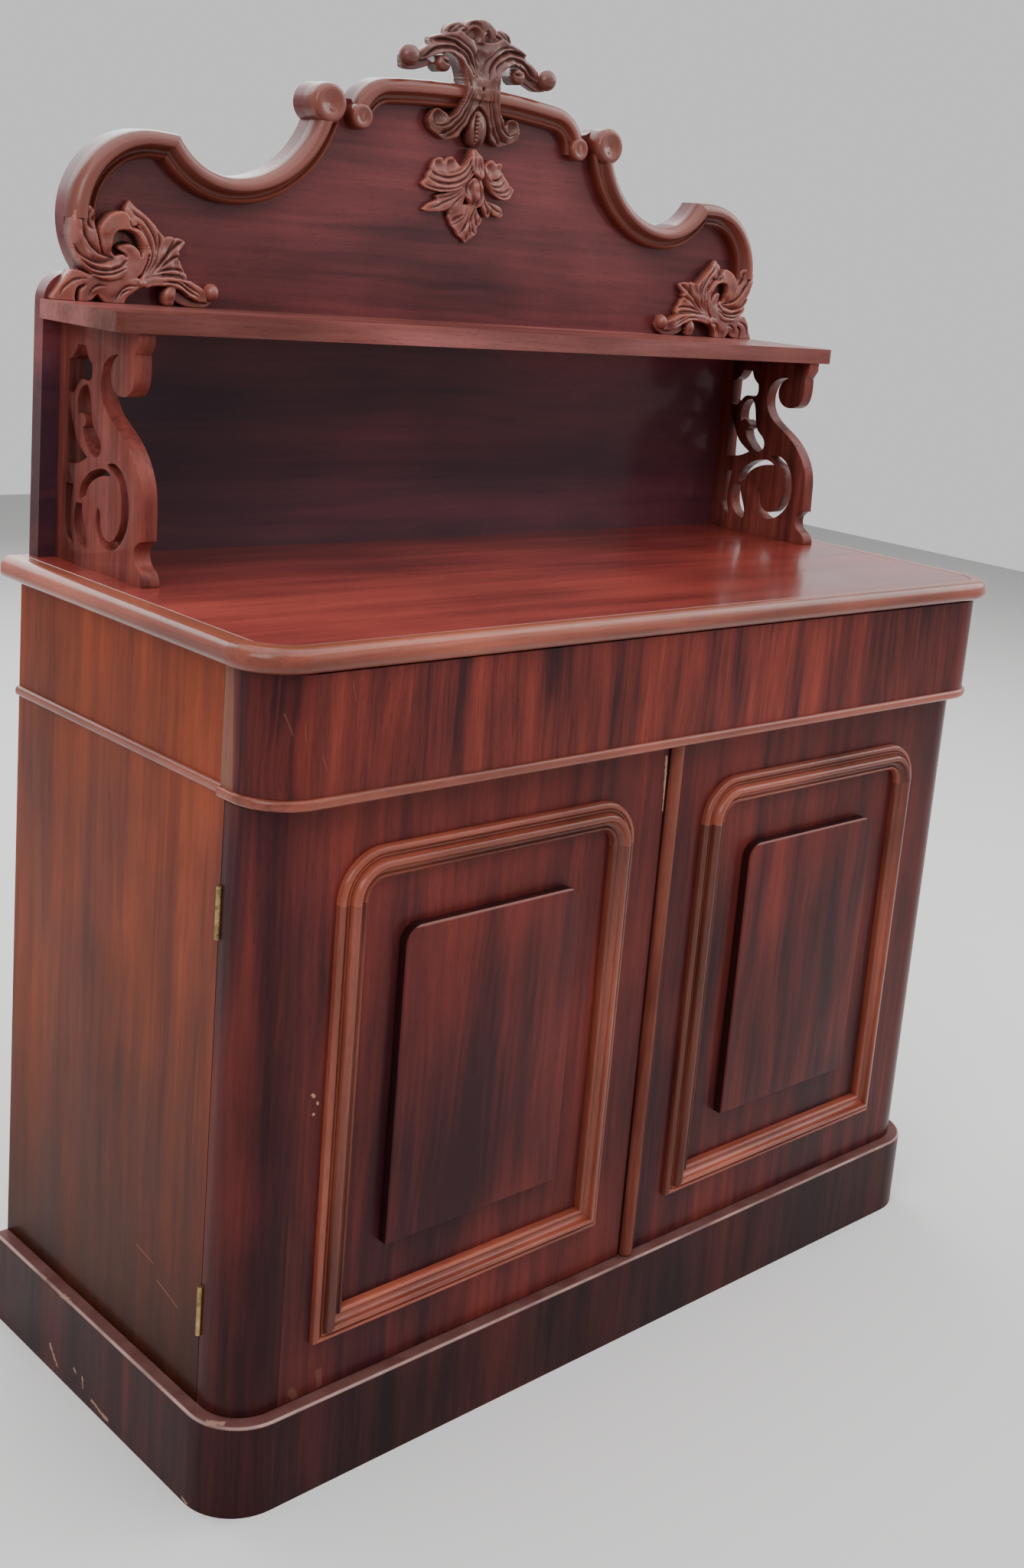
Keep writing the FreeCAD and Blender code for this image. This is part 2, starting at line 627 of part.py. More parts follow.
def circle_cross(centre_a, radius_a, centre_b, radius_b, high):
    """Crossing point of two circles: the higher or the lower one."""
    dx = centre_b[0] - centre_a[0]
    dy = centre_b[1] - centre_a[1]
    apart = math.hypot(dx, dy)
    along = (apart ** 2 + radius_a ** 2 - radius_b ** 2) / (2 * apart)
    off = math.sqrt(radius_a ** 2 - along ** 2)
    points = []
    for sign in (-1, 1):
        points.append((centre_a[0] + along * dx / apart - sign * off * dy / apart,
                       centre_a[1] + along * dy / apart + sign * off * dx / apart))
    points.sort(key=lambda p: p[1])
    return points[1] if high else points[0]


def crest_arcs():
    """Arcs of the right half of the crest, from the shoulder to the middle of the arch.

    Each is (centre, radius, first angle, last angle, convex).
    """
    top_centre = (LOBE_CENTRE[0], LOBE_CENTRE[1] + LOBE_RADIUS - LOBE_TOP_RADIUS)
    arch_centre = (0.0, ARCH_TOP - ARCH_RADIUS)
    lean = math.degrees(math.asin(ARCH_END_ACROSS / ARCH_RADIUS))
    meet = on_circle(arch_centre, ARCH_RADIUS, 90 - lean)
    end_centre = on_circle(meet, ARCH_END_RADIUS, 270 - lean)
    neck = circle_cross((BOARD_HALF_WIDTH - SHOULDER_RADIUS, SHOULDER_HEIGHT - SHOULDER_RADIUS),
                        SHOULDER_RADIUS, LOBE_CENTRE, LOBE_RADIUS, True)
    cusp = circle_cross(top_centre, LOBE_TOP_RADIUS, SWAG_OUTER_CENTRE, SWAG_OUTER_RADIUS, True)
    knob = circle_cross(SWAG_INNER_CENTRE, SWAG_INNER_RADIUS, KNOB_CENTRE, KNOB_RADIUS, False)
    return {
        "lobe": (LOBE_CENTRE, LOBE_RADIUS, angle_at(LOBE_CENTRE, neck), 90.0, True),
        "lobe_top": (top_centre, LOBE_TOP_RADIUS, 90.0, angle_at(top_centre, cusp), True),
        "swag_outer": (SWAG_OUTER_CENTRE, SWAG_OUTER_RADIUS, angle_at(SWAG_OUTER_CENTRE, cusp), -90.0, False),
        "swag_inner": (SWAG_INNER_CENTRE, SWAG_INNER_RADIUS, -90.0, angle_at(SWAG_INNER_CENTRE, knob), False),
        "arch_end": (end_centre, ARCH_END_RADIUS, 0.0, 90 - lean, True),
        "arch": (arch_centre, ARCH_RADIUS, 90 - lean, 90.0, True),
        "neck": neck,
        "cusp": cusp,
        "knob": knob,
    }


def arc_between(shape, y):
    centre, radius, first, last, convex = shape
    middle = (first + last) / 2
    a, b, c = (on_circle(centre, radius, angle) for angle in (first, middle, last))
    return arc(up(a[0], a[1], y), up(b[0], b[1], y), up(c[0], c[1], y))


def make_backboard():
    y = BACK_Y
    arcs = crest_arcs()
    shoulder = (BOARD_HALF_WIDTH - SHOULDER_RADIUS, SHOULDER_HEIGHT - SHOULDER_RADIUS)
    shoulder_arc = (shoulder, SHOULDER_RADIUS, 0.0, angle_at(shoulder, arcs["neck"]), True)
    knob_out = angle_at(KNOB_CENTRE, arcs["knob"])
    valley = on_circle(KNOB_CENTRE, KNOB_RADIUS, VALLEY_START_ANGLE)
    end_centre = arcs["arch_end"][0]
    land = on_circle(end_centre, ARCH_END_RADIUS, VALLEY_END_ANGLE)
    dip = ((valley[0] + land[0]) / 2, (valley[1] + land[1]) / 2 - VALLEY_DIP)
    half = [
        line(up(0, 0, y), up(BOARD_HALF_WIDTH, 0, y)),
        line(up(BOARD_HALF_WIDTH, 0, y), up(BOARD_HALF_WIDTH, shoulder[1], y)),
        arc_between(shoulder_arc, y),
        arc_between(arcs["lobe"], y),
        arc_between(arcs["lobe_top"], y),
        arc_between(arcs["swag_outer"], y),
        arc_between(arcs["swag_inner"], y),
        arc_between((KNOB_CENTRE, KNOB_RADIUS, knob_out, VALLEY_START_ANGLE, True), y),
        arc(up(valley[0], valley[1], y), up(dip[0], dip[1], y), up(land[0], land[1], y)),
        arc_between((end_centre, ARCH_END_RADIUS, VALLEY_END_ANGLE, arcs["arch_end"][3], True), y),
        arc_between(arcs["arch"], y),
        line(up(0, ARCH_TOP, y), up(0, 0, y)),
    ]
    half = [edge for edge in half if edge.Length > 0.01]
    right = prism(Part.Wire(half), V(0, -BOARD_THICK, 0))
    board = right.fuse(mirrored(right)).removeSplitter()
    board = board.cut(dowel_set("board")).cut(shelf_screws())
    save(board, "backboard")


CREST_SECTION = [(0, 0), (0, 0.46), ((3.8, 0.82), (12.0, 1.0)), (15.0, 0.98),
                 ((17.4, 0.63), (21.5, 0.5)), (22.5, 0.5), ((25.8, 0.65), (29.2, 0.46)),
                 (CREST_SECTION_WIDTH, 0.38), (CREST_SECTION_WIDTH, 0)]


def scaled(pair, ridge):
    if isinstance(pair[0], tuple):
        return (scaled(pair[0], ridge), scaled(pair[1], ridge))
    return (pair[0], pair[1] * ridge)


def crest_run(shape, ridge, before=0.0, after=0.0):
    """Moulding along one arc of the crest, running on past its ends by the given degrees."""
    centre, radius, first, last, convex = shape
    turn = 1 if last > first else -1
    first = first - turn * before
    last = last + turn * after
    hub = up(centre[0], centre[1], BOARD_FACE_Y)
    start = hub + V(radius, 0, 0)
    inward = V(-1, 0, 0) if convex else V(1, 0, 0)
    section = [scaled(pair, ridge) for pair in CREST_SECTION]
    face = Part.Face(section_wire(section, start, inward, V(0, -1, 0)))
    face.rotate(hub, V(0, -1, 0), first)
    return face.revolve(hub, V(0, -1, 0), last - first)


def boss(centre, radius, ridge):
    """Round boss that ends a run of the crest moulding, with an eased rim."""
    height = ridge + BOSS_PROUD
    disc = Part.makeCylinder(radius, height, up(centre[0], centre[1], BOARD_FACE_Y), V(0, -1, 0))
    rim = [e for e in disc.Edges if e.BoundBox.YMax < BOARD_FACE_Y - height + 0.01]
    return disc.makeFillet(BOSS_RIM, rim)


CREST_SHAPES = {}


def make_crest():
    arcs = crest_arcs()
    cusp = arcs["cusp"]
    lobe_in = V(arcs["lobe_top"][0][0] - cusp[0], 0, arcs["lobe_top"][0][1] - cusp[1]).normalize()
    swag_in = V(cusp[0] - SWAG_OUTER_CENTRE[0], 0, cusp[1] - SWAG_OUTER_CENTRE[1]).normalize()
    mitre = (lobe_in + swag_in).normalize()
    square = V(mitre.z, 0, -mitre.x)
    if square.x > 0:
        square = -square
    corner = up(cusp[0], cusp[1], BOARD_FACE_Y + 1)
    reach = 3 * CREST_SECTION_WIDTH
    swag_side = Part.makePolygon([corner - mitre * reach, corner + mitre * reach,
                                  corner + mitre * reach + square * reach,
                                  corner - mitre * reach + square * reach, corner - mitre * reach])
    swag_side = prism(swag_side, V(0, -2 * CREST_RIDGE, 0))
    lobe_side = swag_side.translated(-square * reach)
    lobe_top = crest_run(arcs["lobe_top"], CREST_RIDGE, after=LOBE_OVERRUN).cut(swag_side)
    lobe = crest_run(arcs["lobe"], CREST_RIDGE).fuse(lobe_top)
    swag = crest_run(arcs["swag_outer"], CREST_RIDGE, before=SWAG_OVERRUN).cut(lobe_side)
    swag = swag.fuse(crest_run(arcs["swag_inner"], CREST_RIDGE, after=KNOB_OVERRUN))
    swag = swag.fuse(boss(KNOB_CENTRE, KNOB_RADIUS, CREST_RIDGE))
    side_run = group([lobe, swag])
    save(side_run, "crest_moulding_right")
    save(mirrored(side_run), "crest_moulding_left")
    half = crest_run(arcs["arch"], ARCH_RIDGE).fuse(crest_run(arcs["arch_end"], ARCH_RIDGE))
    half = half.fuse(boss(EYE_CENTRE, EYE_RADIUS, ARCH_RIDGE))
    arch = half.fuse(mirrored(half)).removeSplitter()
    save(arch, "crest_moulding_arch")
    CREST_SHAPES["lobe"] = lobe
    CREST_SHAPES["arch"] = arch


def make_upper_shelf():
    shelf = slab(UPPER_SHELF_HALF, BACK_Y - UPPER_SHELF_DEPTH, BOARD_FACE_Y, UPPER_SHELF_CORNER,
                 TOP_Z + UPPER_SHELF_HEIGHT, TOP_Z + UPPER_SHELF_TOP)
    save(shelf.cut(dowel_set("shelf")).cut(shelf_screws()), "upper_shelf")


def dowel_set(where):
    """Dowels that locate the backboard, the bracket feet and the shelf."""
    solids = []
    if where == "board":
        for x in (-DOWEL_SPACING, 0, DOWEL_SPACING):
            solids.append(V(x, BACK_Y - BOARD_THICK / 2, TOP_Z - DOWEL_LENGTH / 2))
    else:
        x = BRACKET_OUTER - BRACKET_THICK / 2
        z = TOP_Z - DOWEL_LENGTH / 2
        if where == "shelf":
            z = TOP_Z + UPPER_SHELF_HEIGHT - DOWEL_LENGTH / 2
        for side in (-1, 1):
            for depth in BRACKET_DOWEL_DEPTHS:
                solids.append(V(side * x, BACK_Y - depth, z))
    return group(Part.makeCylinder(DOWEL_RADIUS, DOWEL_LENGTH, place) for place in solids)


def shelf_screws():
    z = TOP_Z + UPPER_SHELF_HEIGHT + UPPER_SHELF_THICK / 2
    screws = []
    for i in range(SHELF_SCREW_COUNT):
        start = V((i - (SHELF_SCREW_COUNT - 1) / 2) * SHELF_SCREW_SPACING, BACK_Y, z)
        shank = Part.makeCylinder(SHELF_SCREW_RADIUS, BOARD_THICK + SHELF_SCREW_REACH, start, V(0, -1, 0))
        flare = 2 * SHELF_SCREW_RADIUS
        head = Part.makeCone(flare, SHELF_SCREW_RADIUS, SHELF_SCREW_RADIUS, start, V(0, -1, 0))
        screws.append(shank.fuse(head).removeSplitter())
    return group(screws)


# Outline and piercings of a shelf bracket, as (distance in front of the back, height), drawn for a shelf
# at this height and stretched with it
BRACKET_DRAWN_HEIGHT = 252.0
BRACKET_HEAD = [(170, 230), (171, 211), (164, 192), (148, 186), (132, 191), (125, 207), (130, 220), (141, 227)]
BRACKET_NECK = [(141, 227), (126, 225), (113, 217), (106, 203), (106, 187), (114, 172), (136, 156),
                (158, 142), (176, 124), (188, 102), (192, 74), (193, 46)]
BRACKET_NOTCH = (188, 44)
BRACKET_TOE = [(182, 38), (181, 31), (186, 20), (194, 15), (200, 7), (201, 0)]
BRACKET_HOLES = [
    [[(39, 213), (48, 218), (56, 230)], [(56, 230), (73, 230)], [(73, 230), (77, 221), (86, 213)],
     [(86, 213), (84, 196), (72, 195)], [(72, 195), (60, 190), (53, 182), (39, 181)], [(39, 181), (39, 213)]],
    [[(78, 191), (65, 185), (59, 172), (61, 157)], [(61, 157), (70, 160), (77, 154), (71, 146)],
     [(71, 146), (76, 134), (86, 124), (99, 118), (108, 124), (107, 136), (95, 147), (88, 164), (82, 186),
      (78, 191)]],
    [[(39, 179), (40, 165)], [(40, 165), (49, 150), (60, 131), (73, 121), (82, 116)],
     [(82, 116), (60, 107), (41, 105)], [(41, 105), (39, 179)]],
    [[(69, 70), (68, 80), (76, 92), (88, 101), (104, 107), (122, 108), (132, 103)],
     [(132, 103), (114, 101), (98, 95), (86, 86), (82, 76)], [(82, 76), (69, 70)]],
    [[(39, 84), (54, 84)], [(54, 84), (51, 64), (50, 44), (57, 22)], [(57, 22), (46, 27), (39, 40)],
     [(39, 40), (39, 84)]],
    [[(74, 66), (61, 66)], [(61, 66), (58, 48), (64, 30), (84, 20)], [(84, 20), (84, 34), (78, 48), (74, 66)]],
    [[(124, 114), (136, 117), (149, 113), (161, 101), (168, 81), (168, 62), (159, 43), (144, 30), (128, 26),
      (113, 33), (104, 52), (106, 68)],
     [(106, 68), (112, 60), (113, 48), (121, 38), (134, 36), (147, 46), (154, 64), (153, 86), (145, 102),
      (134, 108), (124, 114)]],
]


def bracket_point(pair):
    return V(0, BACK_Y - pair[0], TOP_Z + pair[1] * UPPER_SHELF_HEIGHT / BRACKET_DRAWN_HEIGHT)


def bracket_run(run):
    points = [bracket_point(pair) for pair in run]
    if len(points) == 2:
        return line(points[0], points[1])
    return spline(points)


def make_brackets():
    top = BRACKET_DRAWN_HEIGHT
    top_front = UPPER_SHELF_DEPTH - BRACKET_SETBACK
    outline = [
        line(bracket_point((BOARD_THICK, 0)), bracket_point((BOARD_THICK, top))),
        line(bracket_point((BOARD_THICK, top)), bracket_point((top_front, top))),
        line(bracket_point((top_front, top)), bracket_point((top_front, top - BRACKET_BLOCK))),
        line(bracket_point((top_front, top - BRACKET_BLOCK)), bracket_point(BRACKET_HEAD[0])),
        spline([bracket_point(p) for p in BRACKET_HEAD]),
        spline([bracket_point(p) for p in BRACKET_NECK]),
        line(bracket_point(BRACKET_NECK[-1]), bracket_point(BRACKET_NOTCH)),
        line(bracket_point(BRACKET_NOTCH), bracket_point(BRACKET_TOE[0])),
        spline([bracket_point(p) for p in BRACKET_TOE]),
        line(bracket_point(BRACKET_TOE[-1]), bracket_point((BOARD_THICK, 0))),
    ]
    solid = prism(Part.Wire(outline), V(BRACKET_THICK, 0, 0))
    for hole in BRACKET_HOLES:
        wire = Part.Wire([bracket_run(run) for run in hole])
        cutter = prism(wire, V(BRACKET_THICK + 2, 0, 0))
        solid = solid.cut(cutter.translated(V(-1, 0, 0)))
    left = solid.translated(V(-BRACKET_OUTER, 0, 0))
    left = left.cut(dowel_set("bracket")).cut(dowel_set("shelf"))
    save(left, "bracket_left")
    save(mirrored(left), "bracket_right")


# Carvings, as plain relief: outlines (across, up), from the top board or, in the corners, from the shelf

CREST_OUTLINE = [(0, 481), (10, 485), (18, 497), (30, 489), (48, 488), (63, 493), (71, 504), (66, 518), (50, 524),
                 (34, 527), (26, 540), (28, 556), (40, 562), (62, 560), (96, 561), (112, 563), (121, 574),
                 (116, 586), (100, 588), (84, 598), (72, 606), (53, 610), (50, 618), (38, 625), (22, 626),
                 (10, 631), (0, 631)]
PENDANT_OUTLINE = [(0, 367), (14, 373), (24, 386), (34, 402), (48, 401), (65, 405), (57, 417), (46, 420), (62, 425),
                   (74, 435), (66, 448), (53, 463), (40, 471), (22, 469), (9, 466), (4, 479), (0, 479)]
CORNER_OUTLINE = [(545, 0), (550, 16), (538, 32), (516, 46), (500, 92), (462, 106), (446, 96), (432, 74),
                  (392, 74), (402, 50), (396, 38), (368, 30), (350, 22), (352, 0)]


def relief(points, low_y, high_y, both_halves):
    half = [up(a, b, low_y) for a, b in points]
    if both_halves:
        half = half + [up(-a, b, low_y) for a, b in reversed(points[1:-1])]
    wire = Part.makePolygon(half + [half[0]])
    return prism(wire, V(0, high_y - low_y, 0))


def make_carvings():
    front = BOARD_FACE_Y - CARVING_PROUD
    crest = relief(CREST_OUTLINE, BOARD_FACE_Y, front, True).cut(CREST_SHAPES["arch"])
    behind = relief(CREST_OUTLINE, BOARD_FACE_Y, BOARD_FACE_Y + CARVING_BEHIND, True)
    crest = crest.fuse(behind.common(box(-HALF, HALF, front, BACK_Y, TOP_Z + ARCH_TOP, 2 * TOP_Z)))
    save(crest.removeSplitter(), "crest_carving")
    save(relief(PENDANT_OUTLINE, BOARD_FACE_Y, front, True), "pendant_carving")
    outline = [(across, UPPER_SHELF_TOP + height) for across, height in CORNER_OUTLINE]
    corner = relief(outline, BOARD_FACE_Y, front, False).cut(CREST_SHAPES["lobe"])
    save(corner, "corner_carving_right")
    save(mirrored(corner), "corner_carving_left")


make_sides()
make_boards()
make_inner_shelf()
make_plinth()
make_top()
make_drawer()
make_hinges()
make_doors()
make_backboard()
make_crest()
make_upper_shelf()
make_brackets()
save(group([dowel_set("board"), dowel_set("bracket"), dowel_set("shelf")]), "superstructure_dowels")
save(shelf_screws(), "shelf_screws")
make_carvings()
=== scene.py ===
"""Looks of a Victorian mahogany chiffonier sideboard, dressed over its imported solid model.

Metres. X runs left to right, the front faces -Y, Z is up. Heights on the backboard are written as
(across, up) in millimetres from the middle of the top board.
"""
import math
from contextlib import contextmanager

import bmesh
import bpy
import numpy as np
from bpy.props import FloatProperty, FloatVectorProperty, PointerProperty
from mathutils import Matrix, Vector


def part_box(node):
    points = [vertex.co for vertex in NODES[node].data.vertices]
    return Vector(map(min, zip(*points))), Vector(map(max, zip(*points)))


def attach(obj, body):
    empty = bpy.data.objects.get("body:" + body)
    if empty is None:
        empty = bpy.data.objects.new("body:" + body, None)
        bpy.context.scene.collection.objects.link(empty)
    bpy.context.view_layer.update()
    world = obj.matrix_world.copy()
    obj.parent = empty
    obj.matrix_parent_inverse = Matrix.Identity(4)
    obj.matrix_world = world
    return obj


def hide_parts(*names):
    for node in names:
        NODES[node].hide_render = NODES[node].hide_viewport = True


bl_info = {
    "name": "Chiffonier sideboard",
    "version": (1, 0, 0),
    "blender": (4, 5, 0),
    "location": "View3D > Sidebar > Sideboard",
    "description": "Veneers, mouldings and carvings of a mahogany chiffonier",
    "category": "Add Mesh",
}

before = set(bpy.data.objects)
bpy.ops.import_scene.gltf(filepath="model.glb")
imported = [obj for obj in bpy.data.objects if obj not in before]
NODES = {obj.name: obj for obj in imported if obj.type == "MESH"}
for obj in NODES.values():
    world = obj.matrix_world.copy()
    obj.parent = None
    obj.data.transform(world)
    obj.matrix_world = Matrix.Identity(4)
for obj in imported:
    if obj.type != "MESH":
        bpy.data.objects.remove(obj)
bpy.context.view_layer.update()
MM = 0.001

CARCASE = "carcase_body"
LEFT_DOOR = "left_door_body"
RIGHT_DOOR = "right_door_body"

TOP_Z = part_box("top_board")[1].z
BOARD_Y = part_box("backboard")[0].y
DOOR_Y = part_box("left_door")[0].y
FIELD_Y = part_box("left_door_panel")[0].y
SHELF_TOP = (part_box("upper_shelf")[1].z - TOP_Z) / MM


def colour(name, default, description):
    return FloatVectorProperty(name=name, description=description, default=default, subtype="COLOR",
                               size=3, min=0.0, max=1.0)


def number(name, default, description, **more):
    return FloatProperty(name=name, description=description, default=default, **more)


def length(name, default, description):
    return number(name, default, description, unit="LENGTH")


def factor(name, default, description):
    return number(name, default, description, subtype="FACTOR", min=0.0, max=1.0)


class SideboardColours(bpy.types.PropertyGroup):
    """Polished timber and brass colours."""
    front_dark: colour("Front dark", (0.040, 0.0105, 0.0140), "Dark figure of the front veneers")
    front_light: colour("Front light", (0.195, 0.033, 0.026), "Light figure of the front veneers")
    frieze_light: colour("Frieze light", (0.260, 0.046, 0.032), "Light flame of the drawer front")
    side_dark: colour("Side dark", (0.130, 0.020, 0.009), "Dark figure of the side boards")
    side_light: colour("Side light", (0.345, 0.062, 0.018), "Light figure of the side boards")
    top_dark: colour("Top dark", (0.160, 0.025, 0.022), "Dark figure of the top board")
    top_light: colour("Top light", (0.350, 0.058, 0.043), "Light figure of the top board")
    back_dark: colour("Back dark", (0.055, 0.014, 0.018), "Dark figure of the backboard")
    back_light: colour("Back light", (0.215, 0.047, 0.050), "Light figure of the backboard")
    moulding_dark: colour("Moulding dark", (0.120, 0.024, 0.014), "Dark tone of the mouldings")
    moulding_light: colour("Moulding light", (0.400, 0.098, 0.058), "Light tone of the mouldings")
    # Carved dark is also the painted shade that the carving's hollows are darkened to.
    carved_dark: colour("Carved dark", (0.035, 0.0090, 0.0090), "Old polish in the hollows of the carving")
    carved_light: colour("Carved light", (0.340, 0.105, 0.082), "Rubbed high parts of the carving")
    bracket_light: colour("Bracket light", (0.300, 0.072, 0.056), "Rubbed parts of the brackets")
    plinth_dark: colour("Plinth dark", (0.016, 0.0055, 0.007), "Dark tone of the plinth")
    plinth_light: colour("Plinth light", (0.078, 0.0165, 0.0160), "Light tone of the plinth")
    bead_light: colour("Bead light", (0.300, 0.090, 0.060), "Worn tone of the meeting bead")
    bare: colour("Bare timber", (0.330, 0.140, 0.090), "Unpolished timber and chips")
    inside: colour("Inside timber", (0.300, 0.165, 0.090), "Plain timber inside")
    brass: colour("Brass", (0.420, 0.290, 0.130), "Old brass of the hinges")
    steel: colour("Steel", (0.300, 0.290, 0.280), "Steel of the screws")


class SideboardSizes(bpy.types.PropertyGroup):
    """Sizes of the finish and of the modelled detail."""
    curve_step: length("Curve step", 0.003, "Spacing of points along curved mouldings")
    carving_step: length("Carving step", 0.0009, "Spacing of points over the carvings")
    seed_radius: length("Seed radius", 0.0026, "Radius of the seeds in the crest's pod")
    bracket_round: length("Bracket round", 0.0016, "Rounding of the bracket edges")
    pore_depth: length("Pore depth", 0.00012, "Depth of the open grain")
    polish: factor("Polish", 0.14, "Strength of the polish film")
    chip_share: factor("Chips", 0.5, "How much of the plinth's foot is chipped")


class StageSettings(bpy.types.PropertyGroup):
    """Floor, lamps and camera."""
    floor_colour: colour("Floor", (0.86, 0.85, 0.84), "Colour of the floor")
    sky_light: number("Sky light", 0.30, "Strength of the even light")
    key_power: number("Key power", 50.0, "Large lamp at the left front")
    fill_power: number("Fill power", 12.0, "Lamp at the right front")
    top_power: number("Top power", 120.0, "Wide lamp overhead")
    back_power: number("Back power", 150.0, "Wide lamp behind")
    right_power: number("Right power", 90.0, "Wide lamp at the right")
    camera_place: FloatVectorProperty(name="Camera place", description="Where the camera stands",
                                      default=(-1.46904, -1.54508, 1.27051), unit="LENGTH", size=3)
    camera_yaw: number("Yaw", 0.79848, "Turn to the right", unit="ROTATION")
    camera_pitch: number("Pitch", 0.22095, "Tilt down", unit="ROTATION")
    camera_roll: number("Roll", 0.095974, "Roll of the picture", unit="ROTATION")
    focal_length: number("Focal length", 41.4402, "Lens in millimetres")
    shift: FloatVectorProperty(name="Shift", description="Lens shift", default=(-0.06742, -0.07452), size=2)


def colours():
    return bpy.context.scene.sideboard_colours


def sizes():
    return bpy.context.scene.sideboard_sizes


# Shader building

class Tree:
    """Short names for making and linking the nodes of one tree."""

    def __init__(self, tree):
        self.tree = tree

    def node(self, kind, inputs=None, **settings):
        made = self.tree.nodes.new(kind)
        for name, value in settings.items():
            setattr(made, name, value)
        self.fill(made, inputs or {})
        return made

    def feed(self, socket, value):
        if isinstance(value, bpy.types.NodeSocket):
            self.tree.links.new(value, socket)
        else:
            socket.default_value = value

    def fill(self, node, values):
        for name, value in values.items():
            self.feed(node.inputs[name], value)

    def math(self, operation, a, b=0.0, clamp=False):
        return self.node("ShaderNodeMath", {0: a, 1: b}, operation=operation, use_clamp=clamp).outputs[0]

    def times(self, a, b, clamp=False):
        return self.math("MULTIPLY", a, b, clamp)

    def vector(self, operation, a, b=(0.0, 0.0, 0.0)):
        return self.node("ShaderNodeVectorMath", {0: a, 1: b}, operation=operation).outputs[0]

    def stretch(self, place, scale):
        return self.vector("MULTIPLY", place, scale)

    def parts(self, place):
        return self.node("ShaderNodeSeparateXYZ", {0: place}).outputs

    def attribute(self, name):
        return self.node("ShaderNodeAttribute", attribute_name=name).outputs["Fac"]

    def mix(self, share, a, b, blend="MIX"):
        made = self.node("ShaderNodeMix", data_type="RGBA", blend_type=blend)
        self.fill(made, {0: share, 6: a, 7: b})
        return made.outputs[2]

    def darkened(self, tint, level):
        """A colour multiplied by a level."""
        grey = self.node("ShaderNodeCombineColor", {0: level, 1: level, 2: level}).outputs[0]
        return self.mix(1.0, tint, grey, "MULTIPLY")

    def noise(self, vector, scale, detail=2.0, roughness=0.5):
        made = self.node("ShaderNodeTexNoise", {"Vector": vector, "Scale": scale, "Detail": detail,
                                               "Roughness": roughness})
        return made.outputs["Fac"]

    def remap(self, value, low, high, new_low=0.0, new_high=1.0):
        made = self.node("ShaderNodeMapRange", {0: value, 1: low, 2: high, 3: new_low, 4: new_high})
        return made.outputs[0]

    def grain(self, place, streaks, flame):
        """Figure, pores, waves and cloud of the timber's grain, which runs along the place's X."""
        group = bpy.data.node_groups.get("Mahogany grain") or grain_group()
        made = self.node("ShaderNodeGroup", {0: place, 1: streaks, 2: flame}, node_tree=group)
        return [made.outputs[i] for i in range(4)]

    def turned(self, place, along):
        return self.node("ShaderNodeMapping", {"Vector": place, "Rotation": GRAIN_TURNS[along]}).outputs[0]

    def bump(self, height, distance, strength, invert=False):
        sockets = {"Height": height, "Distance": distance, "Strength": strength}
        return self.node("ShaderNodeBump", sockets, invert=invert).outputs[0]


def new_group(name, kind, inputs, outputs):
    """A node group and its tree; the sockets are given as (name, kind)."""
    group = bpy.data.node_groups.new(name, kind)
    for way, sockets in (("INPUT", inputs), ("OUTPUT", outputs)):
        for label, socket in sockets:
            group.interface.new_socket(label, in_out=way, socket_type="NodeSocket" + socket)
    return group, Tree(group)


def new_material(name):
    """A material with its tree, its shader and the place on the piece."""
    material = bpy.data.materials.new(name)
    material.use_nodes = True
    t = Tree(material.node_tree)
    place = t.node("ShaderNodeTexCoord").outputs["Object"]
    return material, t, material.node_tree.nodes["Principled BSDF"], place


def rgba(tint, scale=1.0):
    return (tint[0] * scale, tint[1] * scale, tint[2] * scale, 1.0)


def toned(tint, scales):
    return [c * k for c, k in zip(tint, scales)]


GRAIN_TURNS = {
    "x": (0.0, 0.0, 0.0),
    "y": (0.0, 0.0, math.radians(90.0)),
    "z": (0.0, math.radians(90.0), 0.0),
}


def grain_group():
    """Figure of mahogany along local X: colour share, open pores and slow waves of the surface."""
    group, t = new_group("Mahogany grain", "ShaderNodeTree",
                         (("Vector", "Vector"), ("Streaks", "Float"), ("Flame", "Float")),
                         [(name, "Float") for name in ("Figure", "Pores", "Waves", "Cloud")])
    given = t.node("NodeGroupInput").outputs
    place, streaks, flame = given[0], given[1], given[2]
    bend = t.noise(t.stretch(place, (2.4, 8.0, 8.0)), 1.0, 3.0)
    bend = t.times(t.math("SUBTRACT", bend, 0.5), flame)
    push = t.node("ShaderNodeCombineXYZ", {"X": 0.0, "Y": bend, "Z": bend}).outputs[0]
    warped = t.vector("ADD", place, push)
    broad = t.noise(t.stretch(warped, (2.4, 34.0, 34.0)), streaks, 3.0, roughness=0.6)
    fine = t.noise(t.stretch(warped, (6.0, 210.0, 210.0)), streaks, 3.0)
    cloud = t.noise(t.stretch(warped, (2.6, 7.0, 7.0)), 1.0, 2.0)
    figure = t.math("ADD", t.times(broad, 0.44), t.times(fine, 0.14))
    figure = t.remap(t.math("ADD", figure, t.times(cloud, 0.42)), 0.39, 0.62)
    pores = t.remap(t.noise(t.stretch(warped, (55.0, 1500.0, 1500.0)), 1.0, 1.0), 0.60, 0.72)
    waves = t.noise(t.stretch(place, (14.0, 14.0, 14.0)), 1.0, 1.0)
    out = t.node("NodeGroupOutput")
    t.fill(out, dict(enumerate((figure, pores, waves, cloud))))
    return group


